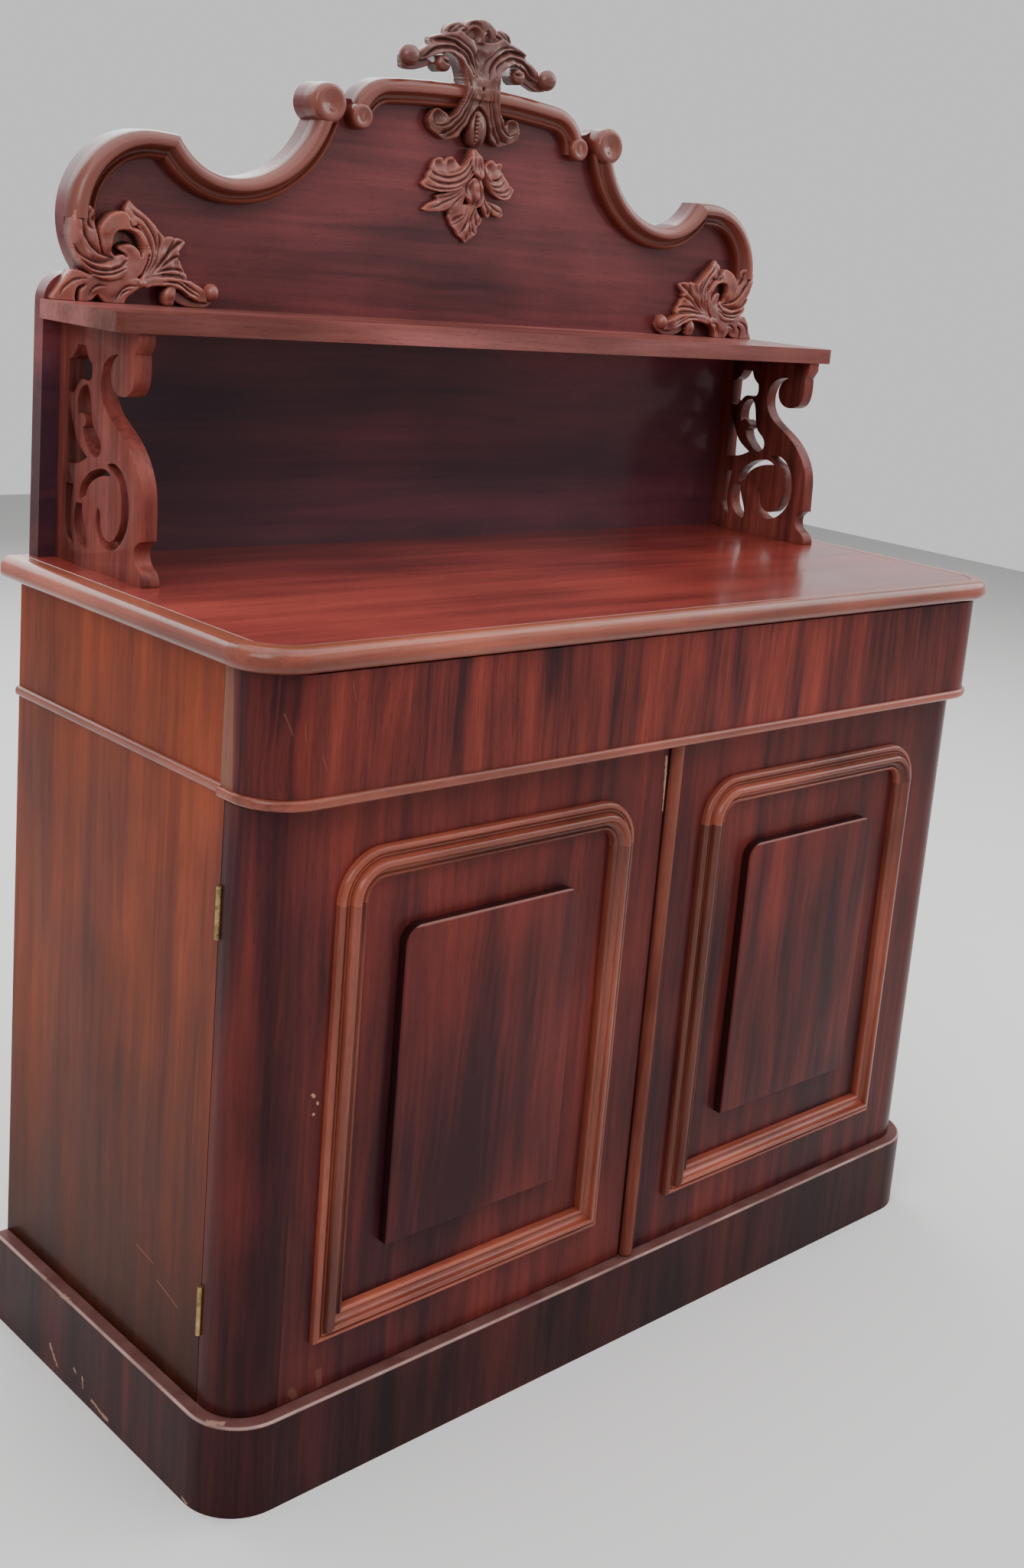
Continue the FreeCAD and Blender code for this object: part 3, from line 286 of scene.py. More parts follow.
def polished_wood(name, dark, light, along="z", streaks=1.0, flame=0.02, gloss=0.36, coat=None,
                  rise=None, blotch=0.35, extra=None, attribute=False, shine=0.08, depth_of_tone=1.0):
    """Polished mahogany. 'rise' is (low z, high z, darkening at the low end), on the sides partly painted
    shade; 'extra' adds wear, and on some pieces painted light and shade.
    """
    material, t, shader, place = new_material(name)
    if attribute:
        run, across, tone = (t.attribute(label) for label in ("along", "across", "tone"))
        grain_place = t.node("ShaderNodeCombineXYZ", {"X": run, "Y": across, "Z": tone}).outputs[0]
    else:
        grain_place = t.turned(place, along)
    figure, pores, waves, cloud = t.grain(grain_place, streaks, flame)
    if depth_of_tone != 1.0:
        figure = t.math("POWER", figure, depth_of_tone)
    tint = t.mix(figure, rgba(dark), rgba(light))
    tint = t.mix(t.times(pores, 0.45), tint, rgba(dark, 0.35))
    tint = t.darkened(tint, t.remap(t.noise(place, 4.2, 3.0), 0.32, 0.68, 1.0 - blotch, 1.0 + blotch * 0.5))
    if rise:
        tint = t.darkened(tint, t.remap(t.parts(place)["Z"], rise[0], rise[1], rise[2], 1.0))
    # Each swept run's colour is scaled by its 'tone'; on the door frames these values are painted light and
    # shade.
    if attribute:
        tint = t.darkened(tint, t.remap(tone, 0.0, 1.0, 0.50, 1.35))
    rough = t.remap(cloud, 0.3, 0.7, gloss - 0.06, gloss + 0.10)
    depth = t.math("SUBTRACT", t.times(waves, 6.0), pores)
    if extra:
        tint, rough, depth = extra(t, place, tint, rough, depth)
    t.fill(shader, {
        "Base Color": tint, "Roughness": rough, "Normal": t.bump(depth, sizes().pore_depth, 0.5),
        "Specular IOR Level": shine, "Coat Weight": sizes().polish if coat is None else coat,
        "Coat Roughness": 0.14, "Coat IOR": 1.35,
    })
    return material


def near_line(t, place, start, end, radius, ragged):
    """1 on a mark that runs from start to end and 0 away from it, with a ragged edge."""
    start, end = Vector(start), Vector(end)
    span = end - start
    shake = t.node("ShaderNodeTexNoise", {"Vector": place, "Scale": 240.0, "Detail": 3.0}).outputs["Color"]
    shake = t.stretch(t.vector("SUBTRACT", shake, (0.5, 0.5, 0.5)), (ragged, ragged, ragged))
    away = t.vector("SUBTRACT", t.vector("ADD", place, shake), tuple(start))
    reach = tuple(span / max(span.length_squared, 1e-9))
    share = t.node("ShaderNodeVectorMath", {0: away, 1: reach}, operation="DOT_PRODUCT").outputs["Value"]
    share = t.node("ShaderNodeClamp", {"Value": share}).outputs[0]
    foot = t.node("ShaderNodeVectorMath", {0: tuple(span), "Scale": share}, operation="SCALE").outputs[0]
    rest = t.vector("SUBTRACT", away, foot)
    far = t.node("ShaderNodeVectorMath", {0: rest}, operation="LENGTH").outputs["Value"]
    return t.remap(far, radius, radius * 0.55)


def marks(t, place, plane, lines):
    """All marks of a list; 'plane' drops the axis that the marks don't depend on."""
    flat = t.stretch(place, plane)
    total = 0.0
    for start, end, radius, ragged in lines:
        mark = near_line(t, flat, toned(start, plane), toned(end, plane), radius, ragged)
        total = t.math("MAXIMUM", total, mark)
    return total


def carved_wood(name, dark, light):
    """Carved mahogany: painted shade darkens the hollows; the high parts are lighter, rubbed and glossy."""
    material, t, shader, place = new_material(name)
    streak = t.noise(t.stretch(place, (60.0, 60.0, 14.0)), 1.0, 3.0)
    fine = t.noise(t.stretch(place, (900.0, 900.0, 90.0)), 1.0, 2.0)
    wear = t.remap(t.noise(place, 45.0, 3.0), 0.3, 0.7, -0.12, 0.12)
    # Painted shade: the more hollow a place, the nearer its colour is to the dark one.
    share = t.math("ADD", t.math("SUBTRACT", 0.62, t.attribute("cavity")), wear)
    share = t.math("ADD", share, t.remap(streak, 0.3, 0.7, -0.14, 0.14), clamp=True)
    tint = t.mix(share, rgba(dark), rgba(light))
    rubbed = t.times(t.remap(t.noise(place, 26.0, 2.0), 0.52, 0.68, 0.0, 0.6), share)
    tint = t.mix(rubbed, tint, rgba(toned(light, (1.15, 0.95, 0.45))))
    tint = t.mix(t.remap(fine, 0.55, 0.8, 0.0, 0.35), tint, rgba(dark, 0.4))
    t.fill(shader, {
        "Base Color": tint, "Roughness": t.remap(share, 0.0, 0.8, 0.85, 0.30),
        "Normal": t.bump(fine, sizes().pore_depth, 0.35),
        "Specular IOR Level": 0.35, "Coat Weight": 0.2, "Coat Roughness": 0.22,
    })
    return material


def bare_wood(name, tint, along="x"):
    """Unpolished timber: dull, with fine dark grain and a little dirt."""
    material, t, shader, place = new_material(name)
    figure, pores, _, cloud = t.grain(t.turned(place, along), 1.4, 0.015)
    made = t.mix(figure, rgba(tint, 0.55), rgba(tint))
    made = t.mix(t.times(pores, 0.5), made, rgba(tint, 0.3))
    t.fill(shader, {
        "Base Color": made, "Roughness": t.remap(cloud, 0.3, 0.7, 0.62, 0.8),
        "Normal": t.bump(pores, 0.0002, 0.6, invert=True), "Specular IOR Level": 0.25,
    })
    return material


def old_metal(name, tint, rough):
    """Tarnished metal with darker blotches and fine scratches."""
    material, t, shader, place = new_material(name)
    blotch = t.remap(t.noise(place, 140.0, 4.0), 0.35, 0.7)
    scratch = t.noise(t.stretch(place, (4000.0, 4000.0, 300.0)), 1.0, 1.0)
    t.fill(shader, {
        "Base Color": t.mix(blotch, rgba(tint), rgba(tint, 0.35)),
        "Roughness": t.remap(blotch, 0.0, 1.0, rough, rough + 0.25),
        "Normal": t.bump(scratch, 0.00005, 0.4), "Metallic": 1.0,
    })
    return material


def dress(material, *nodes):
    """Give carried-over solids their finish."""
    for name in nodes:
        mesh = NODES[name].data
        mesh.materials.clear()
        mesh.materials.append(material)


# Mesh helpers

def link(name, data):
    made = bpy.data.objects.new(name, data)
    bpy.context.scene.collection.objects.link(made)
    return made


def link_mesh(name, mesh, material, smooth=True):
    piece = link(name, mesh)
    mesh.materials.clear()
    mesh.materials.append(material)
    if smooth:
        mesh.shade_smooth()
    return piece


def finish_piece(piece, body, slot, *nodes):
    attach(piece, body)
    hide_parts(*nodes)


def evaluated_mesh(item):
    """Plain mesh of an object with its modifiers applied."""
    depsgraph = bpy.context.evaluated_depsgraph_get()
    return bpy.data.meshes.new_from_object(item.evaluated_get(depsgraph))


@contextmanager
def editing(mesh):
    """Edit a mesh's points and faces, then write them back."""
    work = bmesh.new()
    work.from_mesh(mesh)
    yield work
    work.to_mesh(mesh)
    work.free()


def mark_points(mesh, name, value):
    """Store a number on the points: one for all of them, or one each."""
    made = mesh.attributes.get(name) or mesh.attributes.new(name, "FLOAT", "POINT")
    made.data.foreach_set("value", np.full(len(mesh.vertices), value, np.float32))


MERGE_DISTANCE = 0.00002


def copy_node(name):
    """Editable, merged copy of one of the solids."""
    mesh = NODES[name].data.copy()
    with editing(mesh) as work:
        bmesh.ops.remove_doubles(work, verts=work.verts, dist=MERGE_DISTANCE)
        bmesh.ops.dissolve_limit(work, angle_limit=math.radians(0.5), verts=work.verts, edges=work.edges)
        bmesh.ops.recalc_face_normals(work, faces=work.faces)
    return mesh


def softened(name, new_name, width, material, body, slot):
    """Copy of a solid with its hard edges eased, standing in for the solid."""
    piece = link_mesh(new_name, copy_node(name), material, smooth=False)
    bevel = piece.modifiers.new("eased edges", "BEVEL")
    bevel.width = width
    bevel.segments = 2
    bevel.limit_method = "ANGLE"
    bevel.angle_limit = math.radians(40.0)
    bevel.harden_normals = False
    piece.data = evaluated_mesh(piece)
    piece.modifiers.clear()
    piece.data.shade_smooth()
    piece.data.set_sharp_from_angle(angle=math.radians(35.0))
    finish_piece(piece, body, slot, name)


# Swept mouldings

def sweep_group():
    """Sweeps a section along a path; both hand their length on as attributes."""
    group, t = new_group("Moulding sweep", "GeometryNodeTree",
                         (("Geometry", "Geometry"), ("Section", "Object"), ("Material", "Material")),
                         (("Geometry", "Geometry"),))
    given = t.node("NodeGroupInput").outputs
    section = t.node("GeometryNodeObjectInfo", {0: given["Section"]}).outputs["Geometry"]
    along = t.node("GeometryNodeSplineParameter").outputs["Length"]
    marked = []
    for source, name in ((given["Geometry"], "along"), (section, "across")):
        store = t.node("GeometryNodeStoreNamedAttribute", {"Geometry": source, "Name": name, "Value": along},
                       data_type="FLOAT", domain="POINT")
        marked.append(store.outputs[0])
    upright = t.node("GeometryNodeSetCurveNormal", {0: marked[0]}, mode="Z_UP").outputs[0]
    swept = t.node("GeometryNodeCurveToMesh", {"Curve": upright, "Profile Curve": marked[1]}).outputs[0]
    return hand_out(t, swept, given["Material"], group)


def hand_out(t, shape, material, group):
    """End a group: real geometry with its material."""
    realised = t.node("GeometryNodeRealizeInstances", {0: shape}).outputs[0]
    dressed = t.node("GeometryNodeSetMaterial", {0: realised, "Material": material}).outputs[0]
    t.node("NodeGroupOutput", {0: dressed})
    return group


def apply_group(item, group, values):
    """Run a node group on an object with the named inputs and give the mesh it makes."""
    modifier = item.modifiers.new(group.name, "NODES")
    modifier.node_group = group
    for socket in group.interface.items_tree:
        if socket.in_out == "INPUT" and socket.name in values:
            modifier[socket.identifier] = values[socket.name]
    mesh = evaluated_mesh(item)
    bpy.data.objects.remove(item)
    return mesh


def polyline(name, points, closed=False):
    """Curve object through points (x, y) on the XY plane."""
    curve = bpy.data.curves.new(name, "CURVE")
    curve.dimensions = "3D"
    spline = curve.splines.new("POLY")
    spline.points.add(len(points) - 1)
    for point, (x, y) in zip(spline.points, points):
        point.co = (x, y, 0.0, 1.0)
    spline.use_cyclic_u = closed
    return link(name, curve)


def moulding_run(points, section, front_y, material, tone):
    """Mesh of a section swept along points (x, z) on the plane y = front_y, with closed ends.

    Section points are (across to the right of travel, outward from the plane).
    """
    group = bpy.data.node_groups.get("Moulding sweep") or sweep_group()
    profile = polyline("section", [(a, -b) for a, b in section], closed=True)
    mesh = apply_group(polyline("run", points), group, {"Section": profile, "Material": material})
    bpy.data.objects.remove(profile)
    mesh.transform(Matrix(((1, 0, 0, 0), (0, 0, -1, front_y), (0, 1, 0, 0), (0, 0, 0, 1))))
    with editing(mesh) as work:
        bmesh.ops.edgeloop_fill(work, edges=[e for e in work.edges if e.is_boundary])
        bmesh.ops.recalc_face_normals(work, faces=work.faces)
    mark_points(mesh, "tone", tone)
    return mesh


def cut_mesh(mesh, point, normal):
    """Cut off what lies on the normal's side of a plane and close the cut."""
    with editing(mesh) as work:
        parts = work.verts[:] + work.edges[:] + work.faces[:]
        cut = bmesh.ops.bisect_plane(work, geom=parts, plane_co=point, plane_no=normal, clear_outer=True)
        edges = [e for e in cut["geom_cut"] if isinstance(e, bmesh.types.BMEdge)]
        bmesh.ops.edgeloop_fill(work, edges=edges)


def join_meshes(name, meshes):
    work = bmesh.new()
    for mesh in meshes:
        work.from_mesh(mesh)
    bmesh.ops.recalc_face_normals(work, faces=work.faces)
    made = bpy.data.meshes.new(name)
    work.to_mesh(made)
    work.free()
    return made


def arc_points(centre, radius, first, last, step):
    """Points of an arc, angles in degrees, no further apart than 'step'."""
    span = math.radians(abs(last - first)) * radius
    count = max(2, int(math.ceil(span / step)) + 1)
    angles = np.radians(np.linspace(first, last, count))
    return [(centre[0] + radius * math.cos(a), centre[1] + radius * math.sin(a)) for a in angles]


def eased_section(points, rounds):
    """Round a section's corners by cutting them, keeping its first and last point."""
    line = [Vector(p) for p in points]
    for _ in range(rounds):
        fresh = [line[0]]
        for a, b in zip(line, line[1:]):
            fresh += [a.lerp(b, 0.25), a.lerp(b, 0.75)]
        line = fresh + [line[-1]]
    return [(p.x, p.y) for p in line]


# Doors

DOOR_SECTION = [
    (0.0, 0.0), (0.0, 4.4), (0.9, 6.6), (2.6, 8.2), (5.0, 8.8), (6.7, 8.0), (7.1, 6.5), (7.8, 6.6),
    (8.6, 8.2), (9.6, 8.2), (10.4, 6.8), (11.0, 6.9), (11.6, 10.0), (12.8, 14.0), (14.8, 16.2), (17.4, 16.6),
    (18.9, 16.0), (19.9, 13.0), (21.6, 9.4), (24.0, 7.4), (26.4, 6.9), (27.0, 7.2), (28.0, 9.4), (29.6, 10.2),
    (31.2, 9.2), (32.3, 7.0), (33.0, 5.2), (33.0, 0.0),
]
FRAME_TURN = 52.0
LEG_TOP = 640.0


def door_frame(name, body, material, painted_light_tones):
    """Moulding frame of one door: an arched top run, two legs and a foot, mitred at the foot."""
    low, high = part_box(name)
    section = [(a * MM, b * MM) for a, b in DOOR_SECTION]
    turn = FRAME_TURN * MM
    step = sizes().curve_step
    joint = LEG_TOP * MM
    x0, x1, z0, z1 = low.x, high.x, low.z, high.z
    top = [(x0, joint)] + arc_points((x0 + turn, z1 - turn), turn, 180.0, 90.0, step)
    top += arc_points((x1 - turn, z1 - turn), turn, 90.0, 0.0, step) + [(x1, joint)]
    left, right = (x0, 0, z0), (x1, 0, z0)
    runs = (
        (top, ()),
        ([(x0, z0), (x0, joint)], ((left, (1, 0, -1)),)),
        ([(x1, joint), (x1, z0)], ((right, (-1, 0, -1)),)),
        ([(x1, z0), (x0, z0)], ((left, (-1, 0, 1)), (right, (1, 0, 1)))),
    )
    meshes = []
    for (points, mitres), tone in zip(runs, painted_light_tones):
        mesh = moulding_run(points, section, DOOR_Y, material, tone)
        for point, normal in mitres:
            cut_mesh(mesh, point, normal)
        meshes.append(mesh)
    finish_moulding(name, body, meshes, material)


def finish_moulding(name, body, meshes, material):
    """Make one piece of swept runs, standing in for the solid of that name."""
    joined = join_meshes(name + "_swept", meshes)
    piece = link_mesh(name + "_swept", joined, material)
    joined.set_sharp_from_angle(angle=math.radians(50.0))
    finish_piece(piece, body, "mahogany_moulding", name)


# Crest mouldings

LOBE_CENTRE = (437.0, 360.0)
LOBE_RADIUS = 94.0
LOBE_TOP_CENTRE = (437.0, 154.0)
LOBE_TOP_RADIUS = 300.0
SWAG_OUTER_CENTRE = (341.0, 495.5)
SWAG_OUTER_RADIUS = 80.0
SWAG_INNER_CENTRE = (341.0, 531.5)
SWAG_INNER_RADIUS = 116.0
KNOB_CENTRE = (221.0, 508.0)
KNOB_RADIUS = 23.0
ARCH_TOP = 554.5
ARCH_RADIUS = 1200.0
ARCH_END_RADIUS = 56.0
ARCH_END_ACROSS = 134.0
EYE_CENTRE = (172.0, 499.0)
EYE_RADIUS = 15.0
LOBE_FOOT_ANGLE = 182.0
CREST_RIDGE = 24.0
ARCH_RIDGE = 18.0
LOBE_OVERRUN = 10.0
SWAG_OVERRUN = 25.0
KNOB_OVERLAP = 8.0
LOBE_TONE = 0.62
SWAG_TONE = 0.52
KNOB_TONE = 0.6
ARCH_TONE = 0.75
EYE_TONE = 0.7
# Across in millimetres from the board's edge, and share of the ridge's height
CREST_SECTION = [
    (0.0, 0.0), (0.0, 0.36), (0.8, 0.62), (2.6, 0.82), (6.0, 0.95), (10.0, 1.0), (13.6, 1.0), (15.2, 0.96),
    (16.0, 0.84), (17.2, 0.66), (19.4, 0.54), (21.8, 0.50), (22.6, 0.50), (23.6, 0.60), (25.4, 0.67),
    (27.4, 0.63), (29.2, 0.48), (30.0, 0.34), (30.0, 0.0),
]


def cross_point(centre_a, radius_a, centre_b, radius_b, high):
    """Crossing of two circles, the higher or the lower one."""
    a, b = Vector(centre_a), Vector(centre_b)
    apart = (b - a).length
    along = (apart ** 2 + radius_a ** 2 - radius_b ** 2) / (2 * apart)
    off = math.sqrt(radius_a ** 2 - along ** 2)
    way = (b - a) / apart
    points = [a + way * along + Vector((-way.y, way.x)) * off * s for s in (-1, 1)]
    points.sort(key=lambda p: p.y)
    return points[1] if high else points[0]


def angle_at(centre, point):
    return math.degrees(math.atan2(point[1] - centre[1], point[0] - centre[0]))


def board_run(points, ridge, right_side, material, tone):
    """Crest moulding along points (across, up) in millimetres; its inner side faces down the board."""
    side = 1.0 if right_side else -1.0
    section = [(side * a * MM, b * ridge * MM) for a, b in CREST_SECTION]
    path = [(x * MM, TOP_Z + z * MM) for x, z in points]
    return moulding_run(path, section, BOARD_Y, material, tone)


BOSS_SECTION = [(0.0, 0.8), (0.35, 0.9), (0.62, 1.0), (0.82, 0.98), (0.94, 0.86), (1.0, 0.62), (1.0, 0.0)]
BOSS_SPOKES = 48
BOSS_PROUD = 1.5


def boss_mesh(centre, radius, height, tone):
    """Turned boss with a slightly dished face."""
    mesh = bpy.data.meshes.new("boss")
    angles = [2 * math.pi * i / BOSS_SPOKES for i in range(BOSS_SPOKES)]
    with editing(mesh) as work:
        rings = []
        for share, level in eased_section(BOSS_SECTION, 2):
            rings.append([work.verts.new((centre[0] * MM + math.cos(angle) * share * radius * MM,
                                          BOARD_Y - level * height * MM,
                                          TOP_Z + centre[1] * MM + math.sin(angle) * share * radius * MM))
                          for angle in angles])
        for a, b in zip(rings, rings[1:]):
            for i in range(BOSS_SPOKES):
                j = (i + 1) % BOSS_SPOKES
                work.faces.new((a[i], a[j], b[j], b[i]))
        work.faces.new(rings[-1])
        bmesh.ops.remove_doubles(work, verts=work.verts, dist=0.00001)
        bmesh.ops.recalc_face_normals(work, faces=work.faces)
    for name, value in (("along", 0.3), ("across", 0.1), ("tone", tone)):
        mark_points(mesh, name, value)
    return mesh


def mirror_points(points):
    return [(-x, z) for x, z in points]


def crest_side(side, material):
    """Lobe, swag and knob of one half of the crest; side is -1 on the left and 1 on the right."""
    step = sizes().curve_step / MM
    cusp = cross_point(LOBE_TOP_CENTRE, LOBE_TOP_RADIUS, SWAG_OUTER_CENTRE, SWAG_OUTER_RADIUS, True)
    knob = cross_point(SWAG_INNER_CENTRE, SWAG_INNER_RADIUS, KNOB_CENTRE, KNOB_RADIUS, False)
    lobe = arc_points(LOBE_CENTRE, LOBE_RADIUS, 180.0 - LOBE_FOOT_ANGLE, 90.0, step)
    top_end = angle_at(LOBE_TOP_CENTRE, cusp) + LOBE_OVERRUN
    lobe += arc_points(LOBE_TOP_CENTRE, LOBE_TOP_RADIUS, 90.0, top_end, step)[1:]
    start = angle_at(SWAG_OUTER_CENTRE, cusp) + SWAG_OVERRUN
    finish = angle_at(SWAG_INNER_CENTRE, knob) - KNOB_OVERLAP
    swag = arc_points(SWAG_OUTER_CENTRE, SWAG_OUTER_RADIUS, start, -90.0, step)
    swag += arc_points(SWAG_INNER_CENTRE, SWAG_INNER_RADIUS, -90.0, finish, step)[1:]
    lobe_in = (Vector(LOBE_TOP_CENTRE) - cusp).normalized()
    swag_in = (cusp - Vector(SWAG_OUTER_CENTRE)).normalized()
    mitre = (lobe_in + swag_in).normalized()
    across = Vector((mitre.y, -mitre.x))
    if across.x < 0:
        across.negate()
    if side < 0:
        lobe, swag = mirror_points(lobe), mirror_points(swag)
        across.x = -across.x
    corner = (side * cusp.x * MM, BOARD_Y, TOP_Z + cusp.y * MM)
    lobe_mesh = board_run(lobe, CREST_RIDGE, side < 0, material, LOBE_TONE)
    cut_mesh(lobe_mesh, corner, (-across.x, 0, -across.y))
    swag_mesh = board_run(swag, CREST_RIDGE, side < 0, material, SWAG_TONE)
    cut_mesh(swag_mesh, corner, (across.x, 0, across.y))
    centre = (side * KNOB_CENTRE[0], KNOB_CENTRE[1])
    return [lobe_mesh, swag_mesh, boss_mesh(centre, KNOB_RADIUS, CREST_RIDGE + BOSS_PROUD, KNOB_TONE)]


def crest_arch(material):
    """Middle arch of the crest, with the eyes it curls into."""
    step = sizes().curve_step / MM
    lean = math.asin(ARCH_END_ACROSS / ARCH_RADIUS)
    centre = (0.0, ARCH_TOP - ARCH_RADIUS)
    reach = ARCH_RADIUS - ARCH_END_RADIUS
    end_centre = (reach * math.sin(lean), centre[1] + reach * math.cos(lean))
    end_angle = 90.0 - math.degrees(lean)
    half = arc_points(end_centre, ARCH_END_RADIUS, 0.0, end_angle, step)
    half += arc_points(centre, ARCH_RADIUS, end_angle, 90.0, step)[1:]
    arch = board_run(mirror_points(half) + half[-2::-1], ARCH_RIDGE, True, material, ARCH_TONE)
    eyes = [boss_mesh((side * EYE_CENTRE[0], EYE_CENTRE[1]), EYE_RADIUS, ARCH_RIDGE + BOSS_PROUD, EYE_TONE)
            for side in (-1, 1)]
    return [arch] + eyes


# Carvings, in millimetres, with heights from the board

SPAN_POINTS = 14
OUTLINE_POINTS = 6
CORNER_TURN = 50
LEAST_HALF_WIDTH = 0.3
OUTSIDE = -9.0
LEAST_HEIGHT = 0.3
HOLLOW_ROUNDS = 14
HOLLOW_DEPTH = 3.0
BACK_HOLLOW = 0.3
BURIED = 1.0
FREE_BACK = 4.0
RIM_ROUNDS = 4
PLATE_EASE = 2.2
ANCHOR_SOFTNESS = 6.0


def spline_span(a, b, c, d, count):
    """Catmull-Rom points from b on towards c."""
    bend = 2 * a - 5 * b + 4 * c - d
    twist = 3 * b - a - 3 * c + d
    return [0.5 * (2 * b + (c - a) * t + bend * t * t + twist * t ** 3)
            for t in np.linspace(0, 1, count, endpoint=False)]


def smooth_line(points):
    """Curve through the given points, with width and height carried along."""
    line = np.array(points, float)
    if len(line) == 1:
        return line
    ends = np.vstack([2 * line[0] - line[1], line, 2 * line[-1] - line[-2]])
    made = []
    for i in range(1, len(ends) - 2):
        made += spline_span(*ends[i - 1:i + 3], SPAN_POINTS)
    made = np.array(made + [ends[-2]])
    made[:, 2] = np.maximum(made[:, 2], LEAST_HALF_WIDTH)
    return made


def lay_strand(heights, across, up, kind, points):
    """Raise or cut the height field along (across, up, half width, height); the kind names the section."""
    line = smooth_line(points)
    near = np.full(heights.shape, 4.0)
    side, level, width = np.zeros_like(near), np.zeros_like(near), np.ones_like(near)
    for i, (u, v, w, h) in enumerate(line):
        c0, c1 = np.searchsorted(across, (u - w, u + w))
        r0, r1 = np.searchsorted(up, (v - w, v + w))
        if c1 <= c0 or r1 <= r0:
            continue
        du = (across[c0:c1][None, :] - u) / w
        dv = (up[r0:r1][:, None] - v) / w
        d = du * du + dv * dv
        way = line[min(i + 1, len(line) - 1), :2] - line[max(i - 1, 0), :2]
        way = way / max(np.hypot(way[0], way[1]), 1e-6)
        block = (slice(r0, r1), slice(c0, c1))
        closer = d < near[block]
        for field, value in ((near, d), (side, way[0] * dv - way[1] * du), (level, h), (width, w)):
            field[block] = np.where(closer, value, field[block])
    inside = near < 1.0
    shape = STRAND_SECTIONS[kind](np.sqrt(np.minimum(near, 1.0)), np.clip(side, -1, 1), level, width)
    if kind == "round":
        np.maximum(heights, np.where(inside, shape, OUTSIDE), out=heights)
    else:
        heights -= np.where(inside & (heights > 0), shape, 0.0)


def undercut(r, s, h):
    """Section of a cut that is deepest beside the line on its positive side."""
    return h * np.where(s > 0, (1 - s) ** 1.5, np.clip(1 + s * 6, 0, 1)) * (1 - r ** 6)


# Sections of a strand: r is the distance from its middle line (0 to 1), s the same with a sign that is
# positive on the left of travel, h the strand's height and w its half width
STRAND_SECTIONS = {
    "round": lambda r, s, h, w: h - np.minimum(w, h) * 0.9 * (1 - np.sqrt(1 - r * r)),
    "cut": lambda r, s, h, w: h * (1 - r * r),
    "left": lambda r, s, h, w: undercut(r, s, h),
    "right": lambda r, s, h, w: undercut(r, -s, h),
}
SWAPPED = {"left": "right", "right": "left"}


def smooth_outline(points):
    """Closed curve through the points; a sharp turn stays a corner."""
    line = np.array(points, float)
    count = len(line)
    steps = np.roll(line, -1, 0) - line
    angles = np.degrees(np.arctan2(steps[:, 1], steps[:, 0]))
    sharp = np.abs((angles - np.roll(angles, 1) + 180) % 360 - 180) > CORNER_TURN
    made = []
    for i in range(count):
        after = (i + 1) % count
        b, c = line[i], line[after]
        a = 2 * b - c if sharp[i] else line[i - 1]
        d = 2 * c - b if sharp[after] else line[(i + 2) % count]
        made += spline_span(a, b, c, d, OUTLINE_POINTS)
    return np.array(made)


def lay_plate(heights, across, up, outline, anchors):
    """Raise a sculpted plate: an outline filled by a surface through the anchors (across, up, height)."""
    edge = smooth_outline(outline)
    c0, c1 = np.searchsorted(across, (edge[:, 0].min(), edge[:, 0].max()))
    r0, r1 = np.searchsorted(up, (edge[:, 1].min(), edge[:, 1].max()))
    u, v = np.meshgrid(across[c0:c1], up[r0:r1])
    inside = np.zeros(u.shape, bool)
    far = np.full(u.shape, 1e9)
    for a, b in zip(edge, np.roll(edge, -1, 0)):
        if a[1] != b[1]:
            crossed = (a[1] > v) != (b[1] > v)
            inside ^= crossed & (u < (b[0] - a[0]) * (v - a[1]) / (b[1] - a[1]) + a[0])
        far = np.minimum(far, (u - a[0]) ** 2 + (v - a[1]) ** 2)
    total, weights = np.zeros(u.shape), np.zeros(u.shape)
    for au, av, ah in anchors:
        weight = 1.0 / ((u - au) ** 2 + (v - av) ** 2 + ANCHOR_SOFTNESS) ** 1.5
        total += weight * ah
        weights += weight
    near = np.clip(1.0 - np.sqrt(far) / PLATE_EASE, 0.0, 1.0)
    value = total / weights - 0.8 * PLATE_EASE * (1 - np.sqrt(1 - near * near))
    window = heights[r0:r1, c0:c1]
    np.maximum(window, np.where(inside, value, OUTSIDE), out=window)


def blurred(field, rounds):
    made = field.copy()
    for _ in range(rounds):
        wide = np.pad(made, 1, mode="edge")
        made = (made * 4 + wide[:-2, 1:-1] + wide[2:, 1:-1] + wide[1:-1, :-2] + wide[1:-1, 2:]) / 8.0
    return made


def height_field(strands, across, up):
    """Heights of the finished carving over the grid, what is carved, and how hollow each place is."""
    heights = np.full((len(up), len(across)), OUTSIDE)
    for kind, *parts in strands:
        if kind == "plate":
            lay_plate(heights, across, up, *parts)
        else:
            lay_strand(heights, across, up, kind, *parts)
    solid = heights > 0.0
    soft = np.where(solid, heights, 0.0)
    soft = np.where(solid, np.maximum(0.35 * soft + 0.65 * blurred(soft, 1), LEAST_HEIGHT), 0.0)
    hollow = np.clip((blurred(soft, HOLLOW_ROUNDS) - soft) / HOLLOW_DEPTH, -0.4, 1.0)
    return soft, solid, hollow


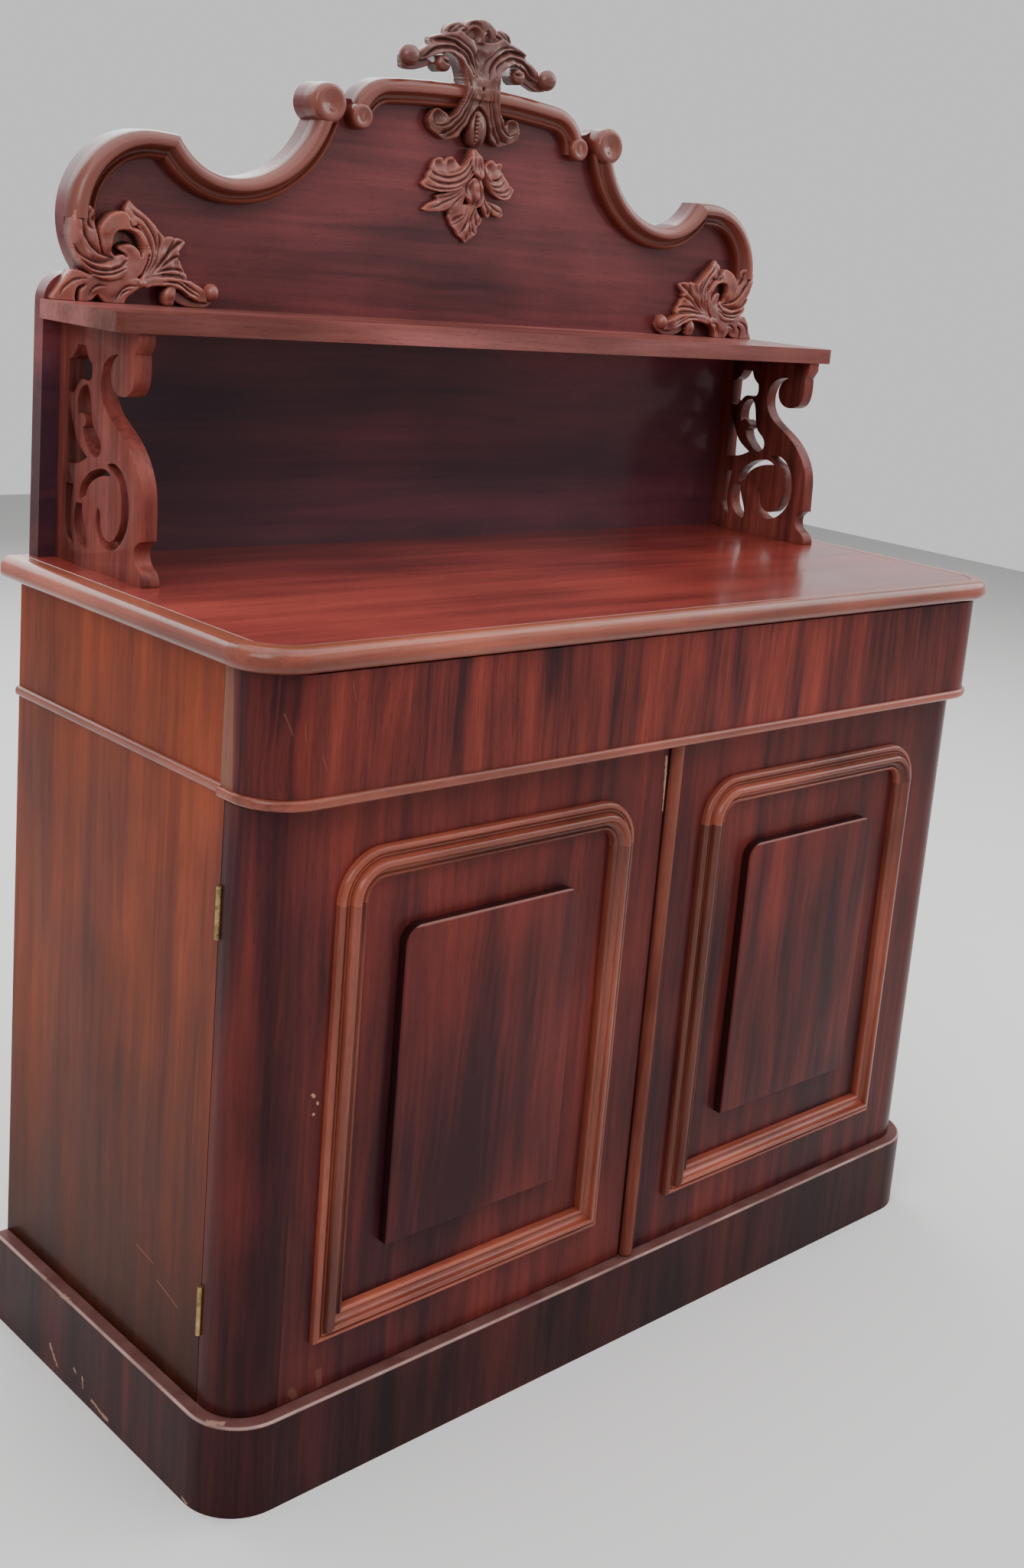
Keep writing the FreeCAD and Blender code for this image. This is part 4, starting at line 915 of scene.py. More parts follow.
def carving_mesh(name, strands, window, free_above=None):
    """Closed mesh of a carving over the window (low across, high across, low up, high up).

    Above 'free_above' it stands clear of the board, so its back is thicker there.
    """
    step = sizes().carving_step / MM
    across = np.arange(window[0], window[1] + step, step)
    up = np.arange(window[2], window[3] + step, step)
    soft, solid, hollow = height_field(strands, across, up)
    rows, cols = np.nonzero(solid)
    count = len(rows)
    index = -np.ones(solid.shape, int)
    index[rows, cols] = np.arange(count)
    back = np.full(count, BURIED)
    if free_above is not None:
        back = np.where(up[rows] > free_above, FREE_BACK, BURIED)
    x, z = across[cols] * MM, TOP_Z + up[rows] * MM
    front = np.stack([x, BOARD_Y - soft[rows, cols] * MM, z], 1)
    rear = np.stack([x, BOARD_Y + back * MM, z], 1)
    a, b, c, d = index[:-1, :-1], index[:-1, 1:], index[1:, 1:], index[1:, :-1]
    full = (a >= 0) & (b >= 0) & (c >= 0) & (d >= 0)
    quads = np.stack([a[full], b[full], c[full], d[full]], 1).tolist()
    edges = dict.fromkeys((quad[i], quad[(i + 1) % 4]) for quad in quads for i in range(4))
    walls = [(q, p, p + count, q + count) for p, q in edges if (q, p) not in edges]
    faces = quads + [[i + count for i in reversed(quad)] for quad in quads] + walls
    mesh = bpy.data.meshes.new(name)
    mesh.from_pydata(np.vstack([front, rear]).tolist(), [], faces)
    # The cavity drives the carving's painted shade in the hollows; the back gets a fixed middling value.
    mark_points(mesh, "cavity", np.concatenate([hollow[rows, cols], np.full(count, BACK_HOLLOW)]))
    smooth_rim(mesh, walls)
    with editing(mesh) as work:
        loose = [v for v in work.verts if not v.link_faces]
        bmesh.ops.delete(work, geom=loose, context="VERTS")
        bmesh.ops.recalc_face_normals(work, faces=work.faces)
    return mesh


def smooth_rim(mesh, walls):
    """Take the grid's steps out of the outline."""
    places = np.zeros(len(mesh.vertices) * 3)
    mesh.vertices.foreach_get("co", places)
    places = places.reshape(-1, 3)
    near = {i: [] for i in sorted({i for wall in walls for i in wall})}
    for q, p, pb, qb in walls:
        for one, other in ((p, q), (q, p), (pb, qb), (qb, pb)):
            near[one].append(other)
    for _ in range(RIM_ROUNDS):
        fresh = places.copy()
        for i, ring in near.items():
            if len(ring) == 2:
                middle = (places[ring[0]] + places[ring[1]]) / 2
                fresh[i, ::2] = (places[i, ::2] + middle[::2]) / 2
        places = fresh
    mesh.vertices.foreach_set("co", places.ravel())
    mesh.update()


def mirrored(strands):
    """The same carving for the other side, with left and right undercuts swapped."""
    return [(SWAPPED.get(kind, kind), *[[(-point[0], *point[1:]) for point in points] for points in parts])
            for kind, *parts in strands]


def groove(points, width=1.7, depth=3.0, kind="cut"):
    """A groove along (across, up) points that runs out at both ends."""
    ends = (0, len(points) - 1)
    shares = [0.45 if i in ends else 1.0 for i in range(len(points))]
    return kind, [(u, v, max(width * share, 0.8), depth * share) for (u, v), share in zip(points, shares)]


CREST_BASE = [
    ("plate", [(-24, 620), (-19, 627), (-9, 630.5), (0, 631), (9, 630.5), (18, 627), (24, 622), (25, 616),
     (20, 606), (0, 603), (-20, 606)], [(0, 627, 15), (-20, 622, 11), (20, 622, 11), (0, 615, 14),
     (-14, 606, 9), (14, 606, 9)]),
    ("cut", [(-10, 611.5, 9.5, 9)]),
    ("cut", [(11, 611.5, 6.5, 8)]),
    groove([(-21, 620), (-14, 625), (-6, 624.5), (-1, 619)], 1.8, 3),
    groove([(4, 617), (10, 619), (15, 616)], 1.8, 3),
    groove([(-17, 604), (0, 602.5), (18, 604)], 1.8, 3.5),
    ("plate", [(-24, 598), (-25, 612), (-12, 620), (12, 620), (25, 612), (24, 598)], [(0, 607, 6)]),
    ("cut", [(-2, 594, 3.0, 6), (2, 595, 2.2, 6)]),
]
CREST_HALF = [
    ("plate", [(51, 609), (51, 614), (46, 620), (35, 624), (27, 623), (19, 620), (17, 615), (17, 608),
     (25, 607), (33, 608), (42, 608)], [(35, 615, 12), (50, 612, 8), (20, 614, 9), (36, 622, 9),
     (34, 609, 10)]),
    groove([(49, 610), (45, 615), (38, 620)], 1.7, 2.6),
    groove([(42, 611), (35, 617), (27, 620)], 1.7, 2.6),
    groove([(35, 611), (29, 614), (22, 616)], 1.7, 2.6),
    ("plate", [(112, 562), (101, 560), (91, 562), (77, 567), (68, 572), (77, 577), (88, 574), (99, 571),
     (106, 577), (114, 576)], [(105, 568, 8), (80, 570, 8)]),
    ("plate", [(0, 606), (10, 607), (20, 608), (28, 611), (34, 614), (42, 611), (53, 609), (72, 603),
     (75, 600), (74, 595), (83, 590), (94, 582), (99, 570), (86, 574), (77, 577), (67, 582), (58, 584),
     (50, 586), (43, 583), (38, 580), (32, 573), (28, 565), (26, 556), (26, 547), (27, 538), (0, 538)],
     [(99, 572, 12), (85, 582, 15), (74, 599, 12), (63, 588, 18), (54, 606, 13), (45, 590, 21),
     (34, 603, 15), (32, 584, 23), (21, 568, 25), (24, 548, 26), (0, 604, 8), (0, 590, 8), (0, 576, 13),
     (14, 594, 18), (3, 556, 22)]),
    groove([(91, 575), (85, 579), (75, 587), (65, 591.5), (54, 593.5), (44, 593), (33, 589), (25, 583),
           (20, 576), (18, 568)], 8, 6, "left"),
    groove([(72, 599), (63, 601), (52, 602), (41, 600.5), (32, 596.5), (22, 590), (16, 582), (12, 574),
           (10, 566)], 8, 7, "left"),
    groove([(53, 605), (43, 606), (32, 603.5), (21, 597.5), (13, 590), (7, 581), (4, 571)], 4, 3.4, "left"),
    groove([(43, 582), (36, 578), (28.5, 570), (24, 562), (21.5, 553), (21.5, 544), (24, 534)], 1.8, 3.4),
    ("round", [(59, 573, 10, 23)]),
    ("cut", [(60, 585, 1.8, 3), (62.5, 579, 2.0, 4), (59, 575, 2.0, 4.4), (53, 575, 2.0, 4),
     (48, 578, 1.6, 3)]),
    ("plate", [(26, 552), (26, 545), (27.5, 538), (30, 529), (35, 522), (40, 516), (45, 513.5), (48, 517),
     (53, 521), (59, 522.5), (65, 521), (69, 517), (72, 511), (72.5, 505), (70, 499), (65, 495), (58, 492),
     (50, 489), (43, 487), (33, 489), (26, 493), (22, 499), (17, 509), (13, 518), (6, 527), (0, 531),
     (0, 552)], [(24, 548, 26), (2, 548, 23), (2, 533, 18), (27, 535, 25), (35, 521, 22), (45, 507, 17),
     (58, 521, 15), (70, 510, 13), (65, 497, 11), (45, 490, 9), (26, 497, 14), (17, 512, 19)]),
    ("cut", [(57.5, 513, 9.5, 8)]),
    groove([(20, 547), (22.5, 537), (26.5, 528), (32, 518), (39, 510), (47, 503.5), (57, 502), (66, 505)], 4,
           4, "left"),
    groove([(15, 545), (17, 535), (21, 524), (27, 512.5), (35, 503), (44, 496), (52, 493)], 5.5, 5, "left"),
    groove([(11, 543), (13.5, 533), (16.5, 522), (21, 511), (28, 501), (35, 494), (42, 489.5)], 4.5, 4.4,
           "left"),
]
CREST_POD = [
    ("cut", [(1, 551, 3.0, 5)]),
    groove([(1, 546), (0, 536), (0, 528)], 2.0, 3),
    ("round", [(0, 520, 7, 20), (0, 512, 12, 24), (0, 503, 13.5, 25), (0, 494, 11.5, 23), (0, 488, 6, 18),
     (0, 484, 2, 12)]),
    groove([(-4, 523), (-6, 510), (-6, 500), (-4.5, 489)], 2.6, 4),
    groove([(4, 522), (7, 508), (6, 492)], 1.6, 2.4),
]
POD_SEEDS = ((-4.6, 520.0), (-5.8, 491.0), 7, 21.5)
BALL_CENTRE = (108.5, 575.5)
BALL_RADIUS = 12.8
BALL_PROUD = 12.5

PENDANT = [
    ("plate", [(-5, 416), (10, 413), (15, 409), (20, 404), (28, 399), (27, 395), (24, 391), (20, 388),
     (21, 383), (18, 379), (13, 376), (9, 373), (5, 369), (3, 367), (0, 370), (-4, 373), (-10, 376),
     (-15, 382), (-21, 387), (-25, 393), (-29, 398), (-27, 403), (-20, 408)], [(6, 410, 12), (-6, 402, 12),
     (16, 400, 9), (4, 388, 11), (-22, 394, 6), (22, 394, 5), (4, 369, 5), (-10, 382, 7), (15, 383, 6)]),
    groove([(9, 411), (6.5, 402), (5.5, 392), (4.5, 382), (4, 371)], 2.2, 4),
    groove([(-4, 409), (-6, 401), (-12, 394), (-20, 389)], 3, 3.4, "left"),
    groove([(0, 404), (-1.5, 395), (-4, 386), (-9, 378)], 3, 3.4, "left"),
    groove([(-9, 402), (-15, 397), (-21, 394)], 3.4, 3),
    groove([(2, 398), (-1, 390), (-4, 383)], 3.0, 3),
    groove([(12, 408), (14, 401), (18, 394), (23, 390)], 3, 3.4, "right"),
    groove([(8, 403), (9, 393), (13, 386), (17, 381)], 3, 3.4, "right"),
    groove([(6, 391), (7, 384), (9.5, 377)], 2, 2.6),
    ("plate", [(-14, 438), (-23, 431), (-32, 428), (-42, 425), (-51, 422), (-47, 418), (-54, 415),
     (-60, 412), (-64, 408), (-69, 404), (-66, 402), (-60, 401.5), (-50, 402), (-38, 404), (-31, 407.5),
     (-29, 403.5), (-25, 401.5), (-21, 403.5), (-16, 407), (-11, 411), (-8, 418), (-8, 430)],
     [(-12, 430, 13), (-28, 424, 12), (-30, 412, 12), (-48, 410, 10), (-67, 403.5, 6), (-13, 412, 11),
     (-25, 403, 8), (-48, 421, 7)]),
    groove([(-15, 430), (-21, 424), (-30, 419.5), (-39, 415), (-47, 410.5), (-57, 406.5)], 3.4, 3.6, "left"),
    groove([(-13, 425), (-18, 420), (-24, 414.5), (-28, 409), (-29.5, 404)], 3.4, 4, "left"),
    groove([(-18, 429.5), (-25, 426), (-36, 422), (-46, 419.5)], 3, 3, "left"),
    ("plate", [(16, 434), (25, 424), (32, 421), (39, 420.5), (48, 418.5), (56, 415), (60, 410), (61.5, 406),
     (58, 403.5), (49, 403.5), (41, 406), (38, 410), (38.5, 405), (36, 401.5), (33, 402), (28, 405.5),
     (23, 411), (18, 416), (12, 424)], [(18, 426, 13), (32, 415, 12), (47, 412, 10), (60, 407, 6),
     (34, 404, 7), (24, 413, 11), (45, 417, 9)]),
    groove([(24, 422), (33, 418.5), (40, 415.5), (47, 412), (53, 409.5)], 3, 3.6, "right"),
    groove([(21, 424), (27, 418), (31, 412), (33.5, 406)], 3, 3.6, "right"),
    ("plate", [(-15, 461), (-19, 459), (-21.5, 463), (-25, 467), (-30, 469.5), (-35, 468.5), (-39, 465.5),
     (-41.5, 462), (-43.5, 466), (-48, 467.5), (-54, 464.5), (-58, 460), (-61, 454), (-60, 449), (-50, 444),
     (-30, 444), (-15, 450)], [(-50, 459, 5), (-31, 461, 5), (-48, 466, 10), (-32, 468, 11), (-59, 455, 9),
     (-41, 460, 9), (-42, 449, 13), (-22, 455, 14), (-54, 449, 10)]),
    ("plate", [(21, 454), (21, 462), (24, 466.5), (28, 470.5), (33, 472), (38, 470), (41, 467.5),
     (47, 469.5), (51.5, 468), (51, 461), (48, 453), (40, 448), (29, 448)], [(31, 461, 5), (30, 470, 11),
     (41, 465, 9), (46, 463, 7), (50, 467, 10), (23, 456, 14), (44, 452, 12)]),
    ("plate", [(-4, 481.5), (-6, 475), (-9, 469), (-12, 464), (-17, 458.5), (-22, 454), (-32, 449.5),
     (-42, 447), (-52, 448.5), (-59, 451.5), (-63, 449), (-66, 445.5), (-66, 441), (-69, 438.5), (-72, 436),
     (-73, 432), (-70, 429.5), (-62, 427.5), (-50, 426), (-40, 426.5), (-28, 429), (-18, 433), (-12, 438),
     (-7, 443), (-2, 449), (1, 460), (1, 482)], [(-2, 479, 15), (-9, 464, 19), (-17, 453, 19),
     (-40, 446, 13), (-62, 447, 9), (-71, 433, 8), (-50, 430, 13), (-25, 434, 17), (-8, 446, 19),
     (0, 462, 21), (-40, 438, 14)]),
    groove([(-3, 479), (-6, 470), (-10, 462), (-15, 455.5), (-21, 450.5), (-28, 447), (-36, 445), (-44, 445),
           (-53, 447), (-60, 450)], 4.5, 4, "left"),
    groove([(-1, 477), (-3, 468), (-6, 459), (-10, 451.5), (-15, 446), (-22, 441.5), (-31, 438.5),
           (-41, 437.5), (-52, 438.5), (-62, 441.5)], 5, 4.4, "left"),
    groove([(0, 468), (-2, 459), (-5.5, 450.5), (-10, 443.5), (-16, 438), (-24, 434), (-34, 431.5),
           (-45, 430.5), (-57, 431), (-66, 433)], 4, 3.6, "left"),
    ("plate", [(-1, 482), (4, 479), (8, 473), (12, 466), (16, 460), (21, 455), (29, 449), (36, 446.5),
     (44, 449), (50, 457), (52, 460), (53, 455), (56, 452), (60, 448), (63, 444.5), (69, 443), (73, 440.5),
     (75, 438), (71, 433), (66, 427.5), (59, 425), (50, 425.5), (40, 429.5), (31, 436), (24, 442), (19, 449),
     (14, 456), (10, 462), (0, 466)], [(3, 477, 16), (9, 465, 20), (17, 455, 19), (28, 445, 16),
     (40, 440, 14), (55, 427, 12), (60, 442, 12), (73, 438, 8), (50, 453, 11), (21, 449, 18),
     (48, 434, 13)]),
    groove([(5, 477), (9, 468), (13, 460), (18.5, 453), (25, 447.5), (32, 445), (39, 445.5), (45, 449),
           (50, 456)], 4, 3.6, "right"),
    groove([(7, 471), (11.5, 461.5), (16.5, 453.5), (23, 446.5), (31, 441.5), (40, 440), (48, 442),
           (54, 447)], 4, 3.6, "right"),
    groove([(9, 465), (14, 456.5), (19.5, 449), (27, 441.5), (35, 436.5), (44, 434), (53, 434.5), (60, 438),
           (65, 442)], 4.4, 4, "right"),
    groove([(12, 459), (17, 451.5), (24, 443.5), (31, 437), (39, 432.5), (49, 429.5), (58, 430),
           (65, 433.5)], 3.4, 3.4, "right"),
    ("plate", [(-8, 441), (-3, 446), (1, 449), (5, 447), (8, 446), (12, 450), (15, 444), (19, 436),
     (22, 428), (21.5, 421), (18, 415.5), (13, 412), (7, 411.5), (1, 415), (-5, 421), (-9, 426),
     (-11.5, 432), (-11, 437)], [(5, 438, 23), (-9, 434, 13), (20, 428, 13), (5, 426, 22), (7, 413, 12),
     (-1, 442, 19), (13, 445, 18)]),
    groove([(-2, 446), (-2.5, 438), (-1.5, 430), (1, 422), (4, 415)], 2.4, 4),
    groove([(5, 447), (7, 439), (9.5, 431), (11, 423), (10.5, 414)], 2.2, 3.6),
    groove([(11, 448), (14, 441), (16.5, 433), (17, 425), (16, 417)], 2.2, 3.6),
    groove([(-7, 441), (-7.5, 434), (-6, 427), (-2, 420)], 2.0, 3),
    ("plate", [(-4, 481), (1, 482), (5, 478), (9, 472), (11.5, 464), (13, 456), (12, 451), (8.5, 445.5),
     (5, 447.5), (0, 450), (-3, 454), (-6, 462), (-6, 472)], [(0, 480, 15), (2, 468, 22), (5, 452, 25),
     (11, 460, 20), (-4, 460, 21)]),
    groove([(2, 476), (3, 466), (4, 456), (4, 449)], 1.8, 2.6),
    groove([(4, 474), (7, 464), (9, 454)], 1.8, 2.6),
    groove([(-2, 475), (-2, 466), (-1, 456)], 1.8, 2.6),
]

# The corner ornaments are written for the right side
CORNER = [
    ("plate", [(526, 305), (530, 302), (534, 297), (538, 291), (543, 283), (548, 276), (549, 271),
     (526, 271), (510, 272), (503, 274), (497, 280), (492, 275), (488, 271.5), (479, 271), (466, 271),
     (463.5, 278), (459, 283), (453, 287.5), (445, 290.5), (434, 292), (421, 292.5), (414, 294), (429, 300),
     (449, 300), (463, 298), (481, 297), (497, 298), (509, 301), (517, 304)], [(526, 303, 14),
     (546, 276, 11), (522, 291, 15), (502, 289, 16), (482, 287, 17), (455, 293, 19), (430, 297, 18),
     (500, 277, 13), (475, 275, 14), (510, 298, 16)]),
    groove([(538, 278), (534.5, 285), (528, 291), (522, 294), (513, 295.5)], 3.4, 3.6, "right"),
    groove([(507, 279), (503.5, 285), (498, 288.5), (490, 289)], 3.4, 3.6, "right"),
    groove([(476, 274), (473, 281), (469, 286.5), (464, 290), (456, 291)], 3.4, 4, "right"),
    groove([(471, 279), (467.5, 284), (462, 287)], 1.7, 2.6),
    ("cut", [(520, 271, 2.6, 7), (520.5, 278, 3.0, 8), (519, 285, 2.6, 6), (513, 289, 1.6, 3)]),
    ("plate", [(414, 293), (406, 291), (397, 288), (389, 283), (377, 279), (365, 278), (366, 284),
     (363, 288), (353, 292), (350, 286), (353, 280), (359, 275), (367, 271.5), (379, 271), (391, 272.5),
     (402, 277), (407, 284), (410, 289)], [(400, 284, 9), (372, 274, 9), (355, 283, 8)]),
    ("round", [(411, 290, 6, 19), (413, 284, 8, 20), (413, 278, 7, 18)]),
    groove([(405, 291), (404, 284), (406, 277)], 1.8, 3),
    ("plate", [(450, 296), (442, 299.5), (430, 302), (413, 303), (401, 302), (389, 300.5), (380, 297),
     (371, 292.5), (366, 288), (363, 277.5), (377, 278.5), (389, 283), (397, 288), (406, 291.5), (414, 294),
     (424, 293), (436, 291.5), (445, 289)], [(450, 293, 20), (430, 297, 19), (405, 298, 20), (385, 292, 18),
     (365, 279, 13)]),
    groove([(422, 297.5), (413, 298.5), (404, 297.5), (396, 293.5), (388, 289), (380, 284.5)], 3.2, 3.6,
           "left"),
    groove([(403, 300), (394, 296.5), (385, 292), (377, 287.5)], 3.0, 3.2, "left"),
    ("plate", [(444, 300), (437, 304.5), (430, 307), (421, 310), (413, 311), (404, 311), (396, 309.5),
     (390, 307.5), (387, 304), (390, 300), (401, 299), (413, 299), (430, 299)], [(442, 302, 18),
     (410, 306, 14), (390, 304, 9)]),
    groove([(436, 303), (425, 305), (413, 306), (402, 305.5), (393, 303.5)], 2.6, 3.4, "left"),
    ("plate", [(444, 301), (436, 309), (430, 319), (425, 330), (422, 340), (420.5, 344.5), (415, 346),
     (410, 346.5), (406, 344.5), (401, 345.5), (391, 342.5), (392, 338), (396, 333.5), (400, 330),
     (397.5, 326), (401, 323), (396.5, 321.5), (395, 316), (389.5, 308), (401, 309), (413, 308), (430, 305)],
     [(440, 306, 17), (429, 324, 17), (416, 341, 12), (395, 340, 8), (405, 326, 11), (398, 318, 8),
     (392, 309, 8), (412, 312, 14), (420, 320, 14)]),
    groove([(434, 307), (424, 316), (416, 325), (409, 331.5), (402, 337), (394, 341)], 5, 5, "right"),
    groove([(424, 310.5), (419, 315), (411, 320.5), (404, 323.5), (398.5, 324.5)], 4, 4, "right"),
    groove([(418, 324), (414, 330), (410.5, 336), (407.5, 342.5)], 2.2, 3),
    groove([(430, 305.5), (421, 308.5), (411, 310.5), (400, 310.5), (392, 308.5)], 3.6, 4, "right"),
    ("plate", [(460, 380.5), (464, 376), (467, 372), (468, 367), (466, 361), (464.5, 356), (462, 352),
     (458, 350.5), (454, 353.5), (451, 351), (447, 346), (443, 340), (440, 330), (441, 318), (446, 306),
     (450, 299), (443, 300), (436, 308), (430, 318), (425, 329), (421, 339), (422.5, 346), (427, 349.5),
     (433, 356), (440, 362.5), (449, 369.5), (456, 376)], [(460, 378, 8), (464, 366, 12), (458, 353, 15),
     (446, 356, 16), (430, 346, 16), (425, 336, 16), (434, 322, 18), (446, 303, 18), (442, 345, 17)]),
    ("plate", [(499, 349), (496, 355), (489, 362.5), (480, 367), (471, 367.5), (466, 364), (463, 357),
     (460, 352), (454, 351), (448, 346), (443, 338), (440, 328), (443, 315), (450, 301), (453, 312),
     (450, 320), (448, 330), (454, 342), (462, 347.5), (471, 348), (478, 346.5), (481.5, 341), (482, 334),
     (481, 326), (477, 320.5), (483, 318.5), (489, 321), (494, 328), (497, 337), (499, 344)],
     [(492, 350, 19), (478, 361, 18), (464, 354, 21), (490, 335, 17), (480, 321, 11), (448, 342, 20),
     (443, 326, 18), (450, 304, 18)]),
    ("plate", [(483, 340), (479, 348), (470, 349.5), (460, 348.5), (452, 342), (446, 330), (448, 318),
     (456, 330), (463, 334), (471, 332), (478, 327)], [(470, 341, 1.5), (455, 338, 3), (478, 336, 2)]),
    ("plate", [(475, 329), (471, 332.5), (463, 334.5), (456, 332.5), (451, 326.5), (449, 318), (449, 308),
     (452, 301), (459, 297), (470, 295.5), (482, 296), (490, 298), (479, 302), (471, 306), (466, 311),
     (464, 317), (466, 323), (470, 326)], [(473, 330, 10), (463, 332, 17), (453, 325, 18), (454, 310, 18),
     (463, 300, 18), (484, 297, 15), (465, 322, 15)]),
    ("plate", [(515, 371), (523, 368), (530, 364), (530.5, 350), (530.5, 340), (528, 328), (523, 317),
     (515, 307), (505, 300), (493, 296), (480, 296), (470, 300), (464, 308), (463, 318), (470, 324),
     (478, 321), (484, 319.5), (491, 322), (496, 330), (499, 340), (501, 350), (501.5, 360), (507, 368)],
     [(515, 369, 21), (523, 364, 21), (529, 361, 20.5), (529, 350, 21.5), (522, 352, 23), (517, 358, 21),
     (509, 362, 16), (508, 354, 14), (503, 356, 11), (525, 340, 22), (513, 342, 17), (514, 316, 21),
     (506, 324, 16), (495, 322, 14), (490, 304, 20), (481, 320, 11), (473, 308, 19), (466, 316, 16)]),
    groove([(522, 362), (521, 353), (518.5, 345), (514.5, 337.5), (508.5, 330), (501, 324.5), (492, 320.5),
           (482, 319)], 5, 5, "right"),
    groove([(512, 364), (512.5, 357), (510, 351), (505, 347)], 2.2, 4),
    groove([(531, 348), (530, 337), (526, 328.5), (520.5, 321), (513, 316), (503, 313), (492, 313),
           (481, 317)], 8, 7, "right"),
    groove([(532, 334), (526, 322.5), (518, 313.5), (508, 307.5), (497, 305), (486, 305), (475, 308.5),
           (466, 316)], 5.5, 5.5, "right"),
    groove([(530, 320), (522, 310), (512, 303.5), (501, 300.5), (490, 300.5), (479, 302.5), (468, 308)], 4,
           4.5, "right"),
    groove([(460, 370), (454.5, 364.5), (449, 361), (443, 355), (438, 348), (434, 341), (432, 333),
           (433, 324)], 4, 4.4, "right"),
    groove([(454, 356), (447.5, 350), (443, 343), (439.5, 336), (437, 328), (437.5, 320), (441, 311),
           (446, 303)], 4, 4.4, "right"),
    groove([(429, 348), (427, 338), (429, 326), (434, 314), (441, 304.5)], 2.2, 3.4),
    groove([(466, 358), (463.5, 353.5), (459, 351), (455, 352.5), (451.5, 355)], 2.0, 4),
    ("round", [(448, 294.5, 4.2, 23)]),
]
CORNER_BALL = (358.5, 289.0)
CORNER_BALL_SIZE = (8.0, 11.0, 10.0)
CORNER_BALL_PROUD = 9.0


def ball_mesh(centre, proud, size):
    """Egg or ball: centre (across, up), size (half width, depth, half height)."""
    mesh = bpy.data.meshes.new("ball")
    with editing(mesh) as work:
        bmesh.ops.create_uvsphere(work, u_segments=40, v_segments=24, radius=1.0)
    turn = Matrix.Rotation(math.radians(90.0), 4, "X")
    scale = Matrix.Diagonal((size[0] * MM, size[1] * MM, size[2] * MM, 1.0))
    place = Matrix.Translation((centre[0] * MM, BOARD_Y - proud * MM, TOP_Z + centre[1] * MM))
    mesh.transform(place @ scale @ turn)
    mark_points(mesh, "cavity", -0.1)
    return mesh


def seed_group():
    """A row of seeds between two points."""
    group, t = new_group("Seed row", "GeometryNodeTree",
                         (("Geometry", "Geometry"), ("Start", "Vector"), ("End", "Vector"), ("Count", "Int"),
                          ("Radius", "Float"), ("Material", "Material")),
                         (("Geometry", "Geometry"),))
    given = t.node("NodeGroupInput").outputs
    row = t.node("GeometryNodeMeshLine", {"Count": given["Count"], "Start Location": given["Start"],
                                          "Offset": given["End"]}, mode="END_POINTS").outputs[0]
    seed = t.node("GeometryNodeMeshIcoSphere", {"Radius": given["Radius"], "Subdivisions": 3}).outputs[0]
    placed = t.node("GeometryNodeInstanceOnPoints", {"Points": row, "Instance": seed}).outputs[0]
    return hand_out(t, placed, given["Material"], group)


def seed_row(material):
    (u0, v0), (u1, v1), count, proud = POD_SEEDS
    y = BOARD_Y - proud * MM
    holder = link("seeds", bpy.data.meshes.new("seeds"))
    mesh = apply_group(holder, seed_group(), {
        "Start": (u0 * MM, y, TOP_Z + v0 * MM), "End": (u1 * MM, y, TOP_Z + v1 * MM), "Count": count,
        "Radius": sizes().seed_radius, "Material": material})
    mark_points(mesh, "cavity", -0.2)
    return mesh


# Operators of the pieces, each with the wear of its timber and, on some, painted light and shade

def glossy_moulding(name, along, streaks, flame, gloss, **more):
    """Mouldings shine more than the flat boards."""
    tint = colours()
    return polished_wood(name, tint.moulding_dark, tint.moulding_light, along, streaks, flame, gloss,
                         shine=0.25, **more)


class SIDEBOARD_OT_stage(bpy.types.Operator):
    """Lay the floor, hang the lamps and place the camera."""
    bl_idname = "sideboard.stage"
    bl_label = "Stage"

    def execute(self, context):
        settings = context.scene.sideboard_stage
        make_floor(settings)
        make_world(settings)
        make_lamps(settings)
        make_camera(settings)
        return {"FINISHED"}


FLOOR_REACH = 6.0
FLOOR_MOTTLE = (0.7, 0.69, 0.67, 1.0)
BACKDROP = (0.86, 0.86, 0.87, 1.0)


def make_floor(settings):
    mesh = bpy.data.meshes.new("floor")
    with editing(mesh) as work:
        bmesh.ops.create_grid(work, x_segments=4, y_segments=4, size=FLOOR_REACH)
    material, t, shader, place = new_material("floor")
    mottle = t.remap(t.noise(place, 1.5, 2.0), 0.3, 0.7, 0.0, 0.03)
    t.fill(shader, {"Base Color": t.mix(mottle, rgba(settings.floor_colour), FLOOR_MOTTLE),
                    "Roughness": 0.8, "Specular IOR Level": 0.2})
    floor = link_mesh("floor", mesh, material)


def make_world(settings):
    """Even light, with a plain pale backdrop where the camera or a reflection sees it."""
    world = bpy.data.worlds.new("soft studio")
    bpy.context.scene.world = world
    world.use_nodes = True
    t = Tree(world.node_tree)
    world.node_tree.nodes.clear()
    ray = t.node("ShaderNodeLightPath").outputs
    shown = t.math("MAXIMUM", t.math("MAXIMUM", ray["Is Camera Ray"], ray["Is Glossy Ray"]),
                   ray["Is Transmission Ray"])
    light = t.node("ShaderNodeBackground", {"Color": (1.0, 1.0, 1.0, 1.0), "Strength": settings.sky_light})
    seen = t.node("ShaderNodeBackground", {"Color": BACKDROP, "Strength": 0.9})
    both = t.node("ShaderNodeMixShader", {0: shown, 1: light.outputs[0], 2: seen.outputs[0]})
    t.node("ShaderNodeOutputWorld", {"Surface": both.outputs[0]})


